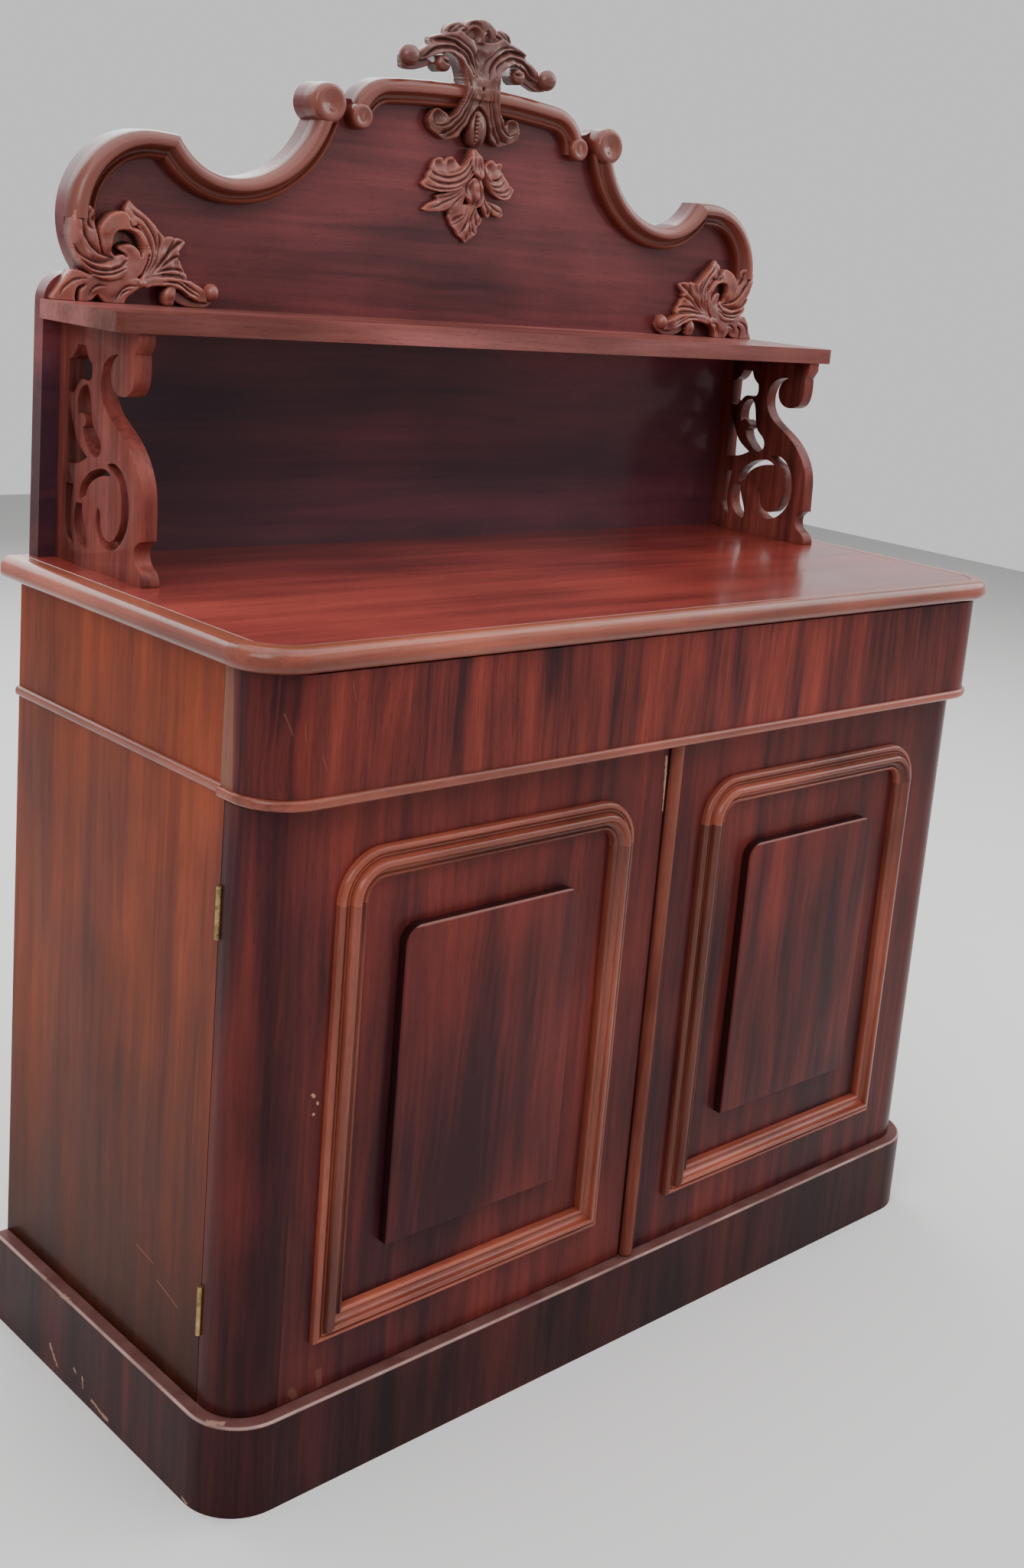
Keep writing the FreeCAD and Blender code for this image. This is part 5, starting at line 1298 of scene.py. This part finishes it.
# Name, place, height of the point on the middle line that it faces, size and setting of its power
LAMPS = (
    ("key", (-3.2, -1.3, 2.7), 0.7, (2.2, 1.6), "key_power"),
    ("fill", (2.4, -3.4, 2.0), 0.6, (2.4, 1.8), "fill_power"),
    ("overhead", (-0.2, -0.6, 3.6), 0.8, (5.0, 4.0), "top_power"),
    ("sky behind", (0.2, 3.4, 3.0), 1.0, (5.0, 3.0), "back_power"),
    ("sky right", (3.6, -1.0, 3.2), 0.9, (3.0, 3.0), "right_power"),
)


def make_lamps(settings):
    for name, place, aim, size, power in LAMPS:
        lamp = bpy.data.lights.new(name, "AREA")
        lamp.shape = "RECTANGLE"
        lamp.size, lamp.size_y = size
        lamp.energy = getattr(settings, power)
        holder = link(name, lamp)
        holder.visible_camera = False
        holder.location = place
        holder.rotation_euler = (Vector((0.0, 0.0, aim)) - Vector(place)).to_track_quat("-Z", "Y").to_euler()


def make_camera(settings):
    lens = bpy.data.cameras.new("photo view")
    lens.sensor_fit = "AUTO"
    lens.sensor_width = 36.0
    lens.lens = settings.focal_length
    lens.shift_x, lens.shift_y = settings.shift
    lens.clip_end = 50.0
    camera = link("photo view", lens)
    yaw, pitch, roll = settings.camera_yaw, settings.camera_pitch, settings.camera_roll
    ahead = Vector((math.sin(yaw) * math.cos(pitch), math.cos(yaw) * math.cos(pitch), -math.sin(pitch)))
    right = Vector((math.cos(yaw), -math.sin(yaw), 0.0))
    above = right.cross(ahead)
    side = right * math.cos(roll) + above * math.sin(roll)
    head = above * math.cos(roll) - right * math.sin(roll)
    turn = Matrix((side, head, -ahead)).transposed().to_4x4()
    camera.matrix_world = Matrix.Translation(settings.camera_place) @ turn
    bpy.context.scene.camera = camera


class SIDEBOARD_OT_carcase(bpy.types.Operator):
    """Finish the sides, the boards inside and the beads along the sides."""
    bl_idname = "sideboard.carcase"
    bl_label = "Carcase"

    def execute(self, context):
        tint = colours()
        # The sides darken towards the floor, in part as painted shade.
        side = polished_wood("side_veneer", tint.side_dark, tint.side_light, "z", 1.0, 0.03, 0.4,
                             rise=(0.08, 0.72, 0.10), extra=side_wear)
        dress(side, "left_side", "right_side")
        dress(bare_wood("inside_timber", tint.inside, "x"), "bottom_board", "top_rail_front", "top_rail_back",
              "interior_shelf", "drawer_rail")
        dress(bare_wood("back_timber", tint.inside, "z"), "back_boards")
        dress(bare_wood("runner_timber", tint.inside, "y"), "shelf_battens", "drawer_runners",
              "drawer_kickers")
        bead = glossy_moulding("side_bead_polish", "y", 1.2, 0.01, 0.3, coat=0.45)
        dress(bead, "side_bead_left", "side_bead_right")
        return {"FINISHED"}


# Marks are (start, end, radius, raggedness) in metres; a plane drops the axis they don't depend on
SIDE_PLANE = (0.0, 1.0, 1.0)
FRONT_PLANE = (1.0, 0.0, 1.0)
ALL_AXES = (1.0, 1.0, 1.0)
LEFT_FACE = (-0.5, -0.55)
CRACK_TINT = (0.02, 0.008, 0.006, 1.0)
SIDE_SCRATCHES = [
    ((0, -0.038, 0.2211), (0, -0.072, 0.2157), 0.0006, 0.001),
    ((0, -0.081, 0.2006), (0, -0.1215, 0.1899), 0.0007, 0.001),
]
SIDE_CRACKS = [((0, -0.155, 0.816), (0, -0.154, 0.869), 0.0007, 0.002)]


def side_wear(t, place, tint, rough, depth):
    """Two thin scratches low on the side and a fine crack beside the frieze."""
    left = t.remap(t.parts(place)["X"], *LEFT_FACE)
    scratch = t.times(marks(t, place, SIDE_PLANE, SIDE_SCRATCHES), left)
    crack = t.times(marks(t, place, SIDE_PLANE, SIDE_CRACKS), left)
    tint = t.mix(t.times(scratch, 0.7), tint, rgba(colours().bare))
    tint = t.mix(t.times(crack, 0.8), tint, CRACK_TINT)
    return tint, t.math("ADD", rough, t.times(scratch, 0.2)), depth


class SIDEBOARD_OT_plinth(bpy.types.Operator):
    """Finish the plinth, with its chipped foot and dusty ledge."""
    bl_idname = "sideboard.plinth"
    bl_label = "Plinth"

    def execute(self, context):
        tint = colours()
        polish = polished_wood("plinth_polish", tint.plinth_dark, tint.plinth_light, "z", 1.0, 0.02, 0.42,
                               coat=0.10, extra=plinth_wear_and_light, depth_of_tone=1.3)
        dress(polish, "plinth_front", "plinth_left", "plinth_right")
        dress(bare_wood("plinth_back_timber", tint.inside, "x"), "plinth_back", "glue_blocks")
        return {"FINISHED"}


PLINTH_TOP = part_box("plinth_front")[1].z
ARRIS_HIGHLIGHT_TINT = (0.48, 0.30, 0.27, 1.0)
DUST_TINT = (0.20, 0.10, 0.09, 1.0)
PLINTH_CHIP_TINT = (0.34, 0.20, 0.15, 1.0)
PLINTH_CHIPS = [
    ((0, 0.110, 0.031), (0, 0.092, 0.012), 0.0024, 0.007),
    ((0, 0.0545, 0.029), (0, 0.052, 0.028), 0.0024, 0.006),
    ((0, 0.036, 0.028), (0, 0.035, 0.017), 0.0018, 0.006),
    ((0, 0.015, 0.0116), (0, -0.019, 0.007), 0.0024, 0.006),
    ((0, -0.170, 0.004), (0, -0.178, 0.002), 0.0020, 0.005),
]
LEDGE_NICKS = [
    ((-0.574, 0.089, PLINTH_TOP), (-0.574, 0.070, PLINTH_TOP), 0.0036, 0.007),
    ((-0.574, 0.133, PLINTH_TOP), (-0.574, 0.127, PLINTH_TOP), 0.0030, 0.006),
    ((-0.566, -0.197, PLINTH_TOP), (-0.556, -0.207, PLINTH_TOP), 0.0040, 0.008),
    ((-0.020, -0.234, PLINTH_TOP), (0.020, -0.234, PLINTH_TOP), 0.0016, 0.005),
    ((0.470, -0.234, PLINTH_TOP), (0.482, -0.234, PLINTH_TOP), 0.0020, 0.005),
]


def plinth_wear_and_light(t, place, tint, rough, depth):
    """Chips along the left foot, nicks in the ledge's arris, dust on the ledge, and painted light on the
    arris and the ledge's top.
    """
    parts = t.parts(place)
    left = t.remap(parts["X"], *LEFT_FACE)
    chips = t.times(marks(t, place, SIDE_PLANE, PLINTH_CHIPS), left)
    chips = t.times(chips, t.times(sizes().chip_share, 2.0, clamp=True))
    nicks = marks(t, place, ALL_AXES, LEDGE_NICKS)
    arris = t.times(t.remap(parts["Z"], PLINTH_TOP - 0.0030, PLINTH_TOP - 0.0018),
                   t.remap(t.noise(place, 12.0, 3.0), 0.35, 0.6, 0.35, 0.95))
    ledge = t.remap(parts["Z"], PLINTH_TOP - 0.0005, PLINTH_TOP - 0.0001)
    dust = t.times(ledge, t.remap(t.noise(place, 30.0, 3.0), 0.3, 0.7, 0.25, 0.65))
    # Painted light: a highlight along the arris, and the ledge's top lit to the plinth's light colour.
    tint = t.mix(arris, tint, ARRIS_HIGHLIGHT_TINT)
    tint = t.mix(ledge, tint, rgba(colours().plinth_light))
    tint = t.mix(dust, tint, DUST_TINT)
    pale = t.math("MAXIMUM", chips, t.times(nicks, 0.9))
    tint = t.mix(pale, tint, PLINTH_CHIP_TINT)
    rough = t.math("ADD", rough, t.times(t.math("MAXIMUM", pale, dust), 0.35), clamp=True)
    depth = t.math("SUBTRACT", depth, t.times(pale, 8.0))
    return tint, rough, depth


class SIDEBOARD_OT_top(bpy.types.Operator):
    """Finish the top board and its edge moulding."""
    bl_idname = "sideboard.top"
    bl_label = "Top"

    def execute(self, context):
        tint = colours()
        board = polished_wood("top_polish", tint.top_dark, tint.top_light, "x", 0.9, 0.02, 0.24, coat=0.5,
                              blotch=0.2, shine=0.25)
        dress(board, "top_board")
        for name, along, nodes in (("front", "x", ("front",)), ("side", "y", ("left", "right"))):
            edge = glossy_moulding("top_edge_" + name, along, 0.9, 0.02, 0.26, extra=edge_bands, coat=0.6)
            dress(edge, *("top_moulding_" + node for node in nodes))
        return {"FINISHED"}


RUBBED_FLAT_TINT = (0.36, 0.115, 0.06, 1.0)


def edge_bands(t, place, tint, rough, depth):
    """Painted shade darkens the moulding's under side, and its flat is rubbed to orange."""
    parts = t.parts(place)
    low = t.remap(parts["Z"], TOP_Z - 0.010, TOP_Z - 0.020)
    tint = t.mix(t.times(low, 0.55), tint, rgba(colours().moulding_dark))
    flat = t.remap(parts["Z"], TOP_Z - 0.0008, TOP_Z - 0.0002)
    tint = t.mix(t.times(flat, 0.4), tint, RUBBED_FLAT_TINT)
    return tint, rough, depth


LIPPING_TONE = (0.82, 0.80, 0.85)


class SIDEBOARD_OT_drawer(bpy.types.Operator):
    """Finish the frieze drawer."""
    bl_idname = "sideboard.drawer"
    bl_label = "Frieze drawer"

    def execute(self, context):
        tint = colours()
        flame = polished_wood("frieze_veneer", tint.front_dark, tint.frieze_light, "z", 1.2, 0.035, 0.34,
                              extra=frieze_wear, depth_of_tone=1.15, blotch=0.25)
        dress(flame, "drawer_front")
        lipping = toned(tint.bare, LIPPING_TONE)
        dress(bare_wood("lipping_timber", lipping, "z"), "drawer_lipping_left", "drawer_lipping_right")
        dress(glossy_moulding("drawer_bead_polish", "x", 1.2, 0.01, 0.28, coat=0.45), "drawer_bead")
        dress(bare_wood("drawer_timber", tint.inside, "x"), "drawer_back", "drawer_bottom")
        dress(bare_wood("drawer_side_timber", tint.inside, "y"), "drawer_side_left", "drawer_side_right")
        return {"FINISHED"}


FRIEZE_SCRATCHES = [
    ((-0.5425, 0, 0.8417), (-0.5355, 0, 0.8228), 0.0007, 0.002),
    ((-0.5252, 0, 0.8325), (-0.5235, 0, 0.816), 0.0005, 0.001),
    ((-0.505, 0, 0.800), (-0.499, 0, 0.785), 0.0006, 0.001),
    ((-0.4755, 0, 0.868), (-0.4705, 0, 0.849), 0.0006, 0.002),
]


def frieze_wear(t, place, tint, rough, depth):
    """A few fine pale scratches at the left of the frieze."""
    scratch = marks(t, place, FRONT_PLANE, FRIEZE_SCRATCHES)
    tint = t.mix(t.times(scratch, 0.28), tint, rgba(colours().bare))
    return tint, rough, depth


FIELD_ROUND = 0.0012
# Side, body and tone of the frame's top run, left leg, right leg and foot; the values are painted light and
# shade, brightest on the up-facing foot, darkest on the legs and lower on the right door
DOORS = (
    ("left", LEFT_DOOR, (0.65, 0.28, 0.38, 1.0)),
    ("right", RIGHT_DOOR, (0.50, 0.22, 0.32, 0.85)),
)


class SIDEBOARD_OT_doors(bpy.types.Operator):
    """Finish the doors and run their moulding frames."""
    bl_idname = "sideboard.doors"
    bl_label = "Doors"

    def execute(self, context):
        tint = colours()
        leaf = polished_wood("door_veneer", tint.front_dark, tint.front_light, "z", 0.8, 0.03, 0.36,
                             extra=door_wear, depth_of_tone=1.25, blotch=0.25)
        post = polished_wood("post_veneer", tint.front_dark, tint.front_light, "z", 0.9, 0.02, 0.34,
                             rise=(0.1, 0.72, 0.55), depth_of_tone=1.1, blotch=0.2)
        field = polished_wood("field_veneer", tint.front_dark, tint.front_light, "z", 0.8, 0.035, 0.34,
                              extra=field_shade, depth_of_tone=1.2, blotch=0.25)
        bead = polished_wood("meeting_bead_polish", tint.moulding_dark, tint.bead_light, "z", 1.1, 0.02, 0.38)
        moulding = glossy_moulding("frame_polish", "z", 0.9, 0.01, 0.26, coat=0.35, attribute=True)
        dress(bead, "meeting_bead")
        for side, body, _ in DOORS:
            dress(leaf, side + "_door")
            dress(post, side + "_door_post")
            softened(side + "_door_panel", side + "_door_field", FIELD_ROUND, field, body, "mahogany_front")
        for side, body, painted_light_tones in DOORS:
            door_frame(side + "_door_moulding", body, moulding, painted_light_tones)
        return {"FINISHED"}


DOOR_CHIP_TINT = (0.46, 0.26, 0.17, 1.0)
FIELD_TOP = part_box("left_door_panel")[1].z
FIELD_ARRIS_HIGHLIGHT_TINT = (0.300, 0.150, 0.130, 1.0)
FIELD_SIDE_SHADE_TINT = (0.012, 0.004, 0.005, 1.0)
DOOR_CHIPS = [
    ((-0.4793, 0, 0.4448), (-0.4765, 0, 0.4420), 0.0018, 0.004),
    ((-0.4722, 0, 0.4347), (-0.4715, 0, 0.4330), 0.0014, 0.003),
    ((-0.4768, 0, 0.4234), (-0.4755, 0, 0.4225), 0.0016, 0.003),
    ((-0.0155, 0, 0.7307), (-0.0120, 0, 0.6677), 0.0022, 0.004),
]
DOOR_RUBS = [
    ((-0.4830, 0, 0.1150), (-0.4790, 0, 0.1090), 0.0060, 0.008),
    ((-0.4500, 0, 0.1260), (-0.4480, 0, 0.1100), 0.0050, 0.008),
]


def door_wear(t, place, tint, rough, depth):
    """Small chips beside the left frame and at the left door's top corner, and rubbed spots at its foot."""
    back = t.parts(place)["Y"]
    front = t.remap(back, DOOR_Y + 0.003, DOOR_Y + 0.002)
    chips = t.times(marks(t, place, FRONT_PLANE, DOOR_CHIPS), front)
    rubs = marks(t, place, FRONT_PLANE, DOOR_RUBS)
    tint = t.mix(t.times(rubs, 0.22), tint, rgba(colours().bare))
    tint = t.mix(chips, tint, DOOR_CHIP_TINT)
    rough = t.math("ADD", rough, t.times(chips, 0.3), clamp=True)
    return tint, rough, t.math("SUBTRACT", depth, t.times(chips, 8.0))


def field_shade(t, place, tint, rough, depth):
    """Painted shade on the raised fields' dark end-grain sides, and a painted highlight along their top
    arris.
    """
    parts = t.parts(place)
    side = t.remap(parts["Y"], FIELD_Y + 0.0012, FIELD_Y + 0.0022)
    arris = t.remap(parts["Z"], FIELD_TOP - 0.0030, FIELD_TOP - 0.0015)
    arris = t.times(arris, t.math("SUBTRACT", 1.0, side))
    tint = t.mix(t.times(arris, 0.75), tint, FIELD_ARRIS_HIGHLIGHT_TINT)
    return t.mix(t.times(side, 0.85), tint, FIELD_SIDE_SHADE_TINT), rough, depth


class SIDEBOARD_OT_hinges(bpy.types.Operator):
    """Finish the brass hinges and the screws."""
    bl_idname = "sideboard.hinges"
    bl_label = "Hinges"

    def execute(self, context):
        brass = old_metal("old_brass", colours().brass, 0.38)
        steel = old_metal("screw_steel", colours().steel, 0.42)
        for owner in ("carcase", "left_door", "right_door"):
            dress(brass, owner + "_hinge_leaves")
            dress(steel, owner + "_hinge_screws")
        dress(brass, "hinge_pins")
        dress(steel, "shelf_screws")
        return {"FINISHED"}


class SIDEBOARD_OT_backboard(bpy.types.Operator):
    """Finish the backboard and its dowels."""
    bl_idname = "sideboard.backboard"
    bl_label = "Backboard"

    def execute(self, context):
        tint = colours()
        board = polished_wood("back_polish", tint.back_dark, tint.back_light, "x", 0.55, 0.03, 0.30, coat=0.4,
                              blotch=0.4, extra=back_wear_and_shade)
        dress(board, "backboard")
        dress(bare_wood("dowel_timber", tint.bare, "z"), "superstructure_dowels")
        return {"FINISHED"}


ALCOVE_SHADE_FADE = (1.165, 1.120)
ALCOVE_SHADE_TINT = (0.065, 0.040, 0.062, 1.0)
BACK_PLUG = [((-0.559, 0.233, 1.076), (-0.559, 0.233, 1.084), 0.006, 0.001)]
PLUG_TINT = (0.42, 0.22, 0.10, 1.0)


def back_wear_and_shade(t, place, tint, rough, depth):
    """Painted cool shade in the alcove below the shelf, and a pale plug in the board's left edge."""
    parts = t.parts(place)
    face = t.remap(parts["Y"], BOARD_Y + 0.003, BOARD_Y + 0.001)
    low = t.times(t.remap(parts["Z"], *ALCOVE_SHADE_FADE), face)
    tint = t.mix(t.times(low, 0.4), tint, ALCOVE_SHADE_TINT)
    return t.mix(marks(t, place, ALL_AXES, BACK_PLUG), tint, PLUG_TINT), rough, depth


CREST_TONE = (0.58, 0.58, 0.58)
CREST_CARVING_TONE = (0.45, 0.45, 0.45)


class SIDEBOARD_OT_crest(bpy.types.Operator):
    """Run the crest's mouldings over the lobes, swags and arch."""
    bl_idname = "sideboard.crest"
    bl_label = "Crest mouldings"

    def execute(self, context):
        tint = colours()
        dimmed_light = toned(tint.moulding_light, CREST_TONE)
        material = polished_wood("crest_polish", tint.moulding_dark, dimmed_light, "z", 0.8, 0.01, 0.28, coat=0.40,
                                 attribute=True, shine=0.25, extra=crest_bands)
        finish_moulding("crest_moulding_left", CARCASE, crest_side(-1, material), material)
        finish_moulding("crest_moulding_right", CARCASE, crest_side(1, material), material)
        finish_moulding("crest_moulding_arch", CARCASE, crest_arch(material), material)
        return {"FINISHED"}


HOLLOW_SHADE_BAND = (0.0145, 0.0095)
HOLLOW_SHADE_TINT = (0.105, 0.018, 0.012, 1.0)
RIDGE_HIGHLIGHT_BAND = (0.0150, 0.0175)
RIDGE_HIGHLIGHT_TINT = (0.250, 0.100, 0.088, 1.0)


def crest_bands(t, place, tint, rough, depth):
    """A painted pinkish highlight on the outer band, and painted shade in the hollow beside it."""
    proud = t.math("SUBTRACT", BOARD_Y, t.parts(place)["Y"])
    tint = t.mix(t.remap(proud, *HOLLOW_SHADE_BAND, 0.0, 0.75), tint, HOLLOW_SHADE_TINT)
    return t.mix(t.remap(proud, *RIDGE_HIGHLIGHT_BAND, 0.0, 0.30), tint, RIDGE_HIGHLIGHT_TINT), rough, depth


CREST_WINDOW = (-120, 120, 478, 636)
PENDANT_WINDOW = (-78, 78, 364, 484)
CORNER_REACH = (347.0, 550.0)
CORNER_TOP = 386
SHELF_GAP = 0.2


def finish_carving(name, mesh, material, node):
    finish_piece(link_mesh(name, mesh, material), CARCASE, "mahogany_carved", node)


class SIDEBOARD_OT_carvings(bpy.types.Operator):
    """Carve the crest, the pendant and the two corner ornaments."""
    bl_idname = "sideboard.carvings"
    bl_label = "Carvings"

    def execute(self, context):
        tint = colours()
        material = carved_wood("carved_polish", tint.carved_dark, tint.carved_light)
        # The crest's carving is given a darker light colour than the pendant and corners.
        darker_crest = carved_wood("crest_old_polish", tint.carved_dark, toned(tint.carved_light, CREST_CARVING_TONE))
        strands = CREST_BASE + CREST_HALF + mirrored(CREST_HALF) + CREST_POD
        crest = [carving_mesh("crest", strands, CREST_WINDOW, free_above=ARCH_TOP + 1.0), seed_row(darker_crest)]
        for side in (-1, 1):
            centre = (side * BALL_CENTRE[0], BALL_CENTRE[1])
            crest.append(ball_mesh(centre, BALL_PROUD, (BALL_RADIUS,) * 3))
        finish_carving("crest_carved", join_meshes("crest_carved", crest), darker_crest, "crest_carving")
        pendant = carving_mesh("pendant_carved", PENDANT, PENDANT_WINDOW)
        finish_carving("pendant_carved", pendant, material, "pendant_carving")
        for side, name in ((-1, "left"), (1, "right")):
            strands = CORNER if side > 0 else mirrored(CORNER)
            low, high = sorted(side * reach for reach in CORNER_REACH)
            corner = carving_mesh("corner", strands, (low, high, SHELF_TOP + SHELF_GAP, CORNER_TOP))
            egg = ball_mesh((side * CORNER_BALL[0], CORNER_BALL[1]), CORNER_BALL_PROUD, CORNER_BALL_SIZE)
            mesh = join_meshes("corner_carved_" + name, [corner, egg])
            finish_carving("corner_carved_" + name, mesh, material, "corner_carving_" + name)
        return {"FINISHED"}


SHELF_TONE = (0.85, 1.15, 1.8)


class SIDEBOARD_OT_shelf(bpy.types.Operator):
    """Finish the upper shelf and ease its brackets' edges."""
    bl_idname = "sideboard.shelf"
    bl_label = "Upper shelf"

    def execute(self, context):
        tint = colours()
        pink = toned(tint.moulding_light, SHELF_TONE)
        shelf = polished_wood("shelf_polish", tint.moulding_dark, pink, "x", 0.9, 0.02, 0.32, shine=0.2)
        dress(shelf, "upper_shelf")
        fret = polished_wood("bracket_polish", tint.carved_dark, tint.bracket_light, "z", 1.0, 0.02, 0.4)
        for side in ("left", "right"):
            softened("bracket_" + side, "bracket_" + side + "_eased", sizes().bracket_round, fret, CARCASE,
                     "mahogany_carved")
        return {"FINISHED"}


OPERATORS = (SIDEBOARD_OT_stage, SIDEBOARD_OT_carcase, SIDEBOARD_OT_plinth, SIDEBOARD_OT_top,
             SIDEBOARD_OT_drawer, SIDEBOARD_OT_doors, SIDEBOARD_OT_hinges, SIDEBOARD_OT_backboard,
             SIDEBOARD_OT_crest, SIDEBOARD_OT_carvings, SIDEBOARD_OT_shelf)


class SIDEBOARD_PT_pieces(bpy.types.Panel):
    """Colours, sizes and the steps that dress the sideboard."""
    bl_idname = "SIDEBOARD_PT_pieces"
    bl_label = "Sideboard"
    bl_space_type = "VIEW_3D"
    bl_region_type = "UI"
    bl_category = "Sideboard"

    def draw(self, context):
        for settings in (context.scene.sideboard_colours, context.scene.sideboard_sizes,
                         context.scene.sideboard_stage):
            box = self.layout.box()
            for name in settings.__annotations__:
                box.prop(settings, name)
        for operator in OPERATORS:
            self.layout.operator(operator.bl_idname)


CLASSES = (SideboardColours, SideboardSizes, StageSettings) + OPERATORS + (SIDEBOARD_PT_pieces,)


def register():
    for cls in CLASSES:
        bpy.utils.register_class(cls)
    bpy.types.Scene.sideboard_colours = PointerProperty(type=SideboardColours)
    bpy.types.Scene.sideboard_sizes = PointerProperty(type=SideboardSizes)
    bpy.types.Scene.sideboard_stage = PointerProperty(type=StageSettings)


def unregister():
    for name in ("sideboard_colours", "sideboard_sizes", "sideboard_stage"):
        delattr(bpy.types.Scene, name)
    for cls in reversed(CLASSES):
        bpy.utils.unregister_class(cls)


def main():
    register()
    for operator in OPERATORS:
        area, name = operator.bl_idname.split(".")
        getattr(getattr(bpy.ops, area), name)()


if __name__ == "__main__":
    main()
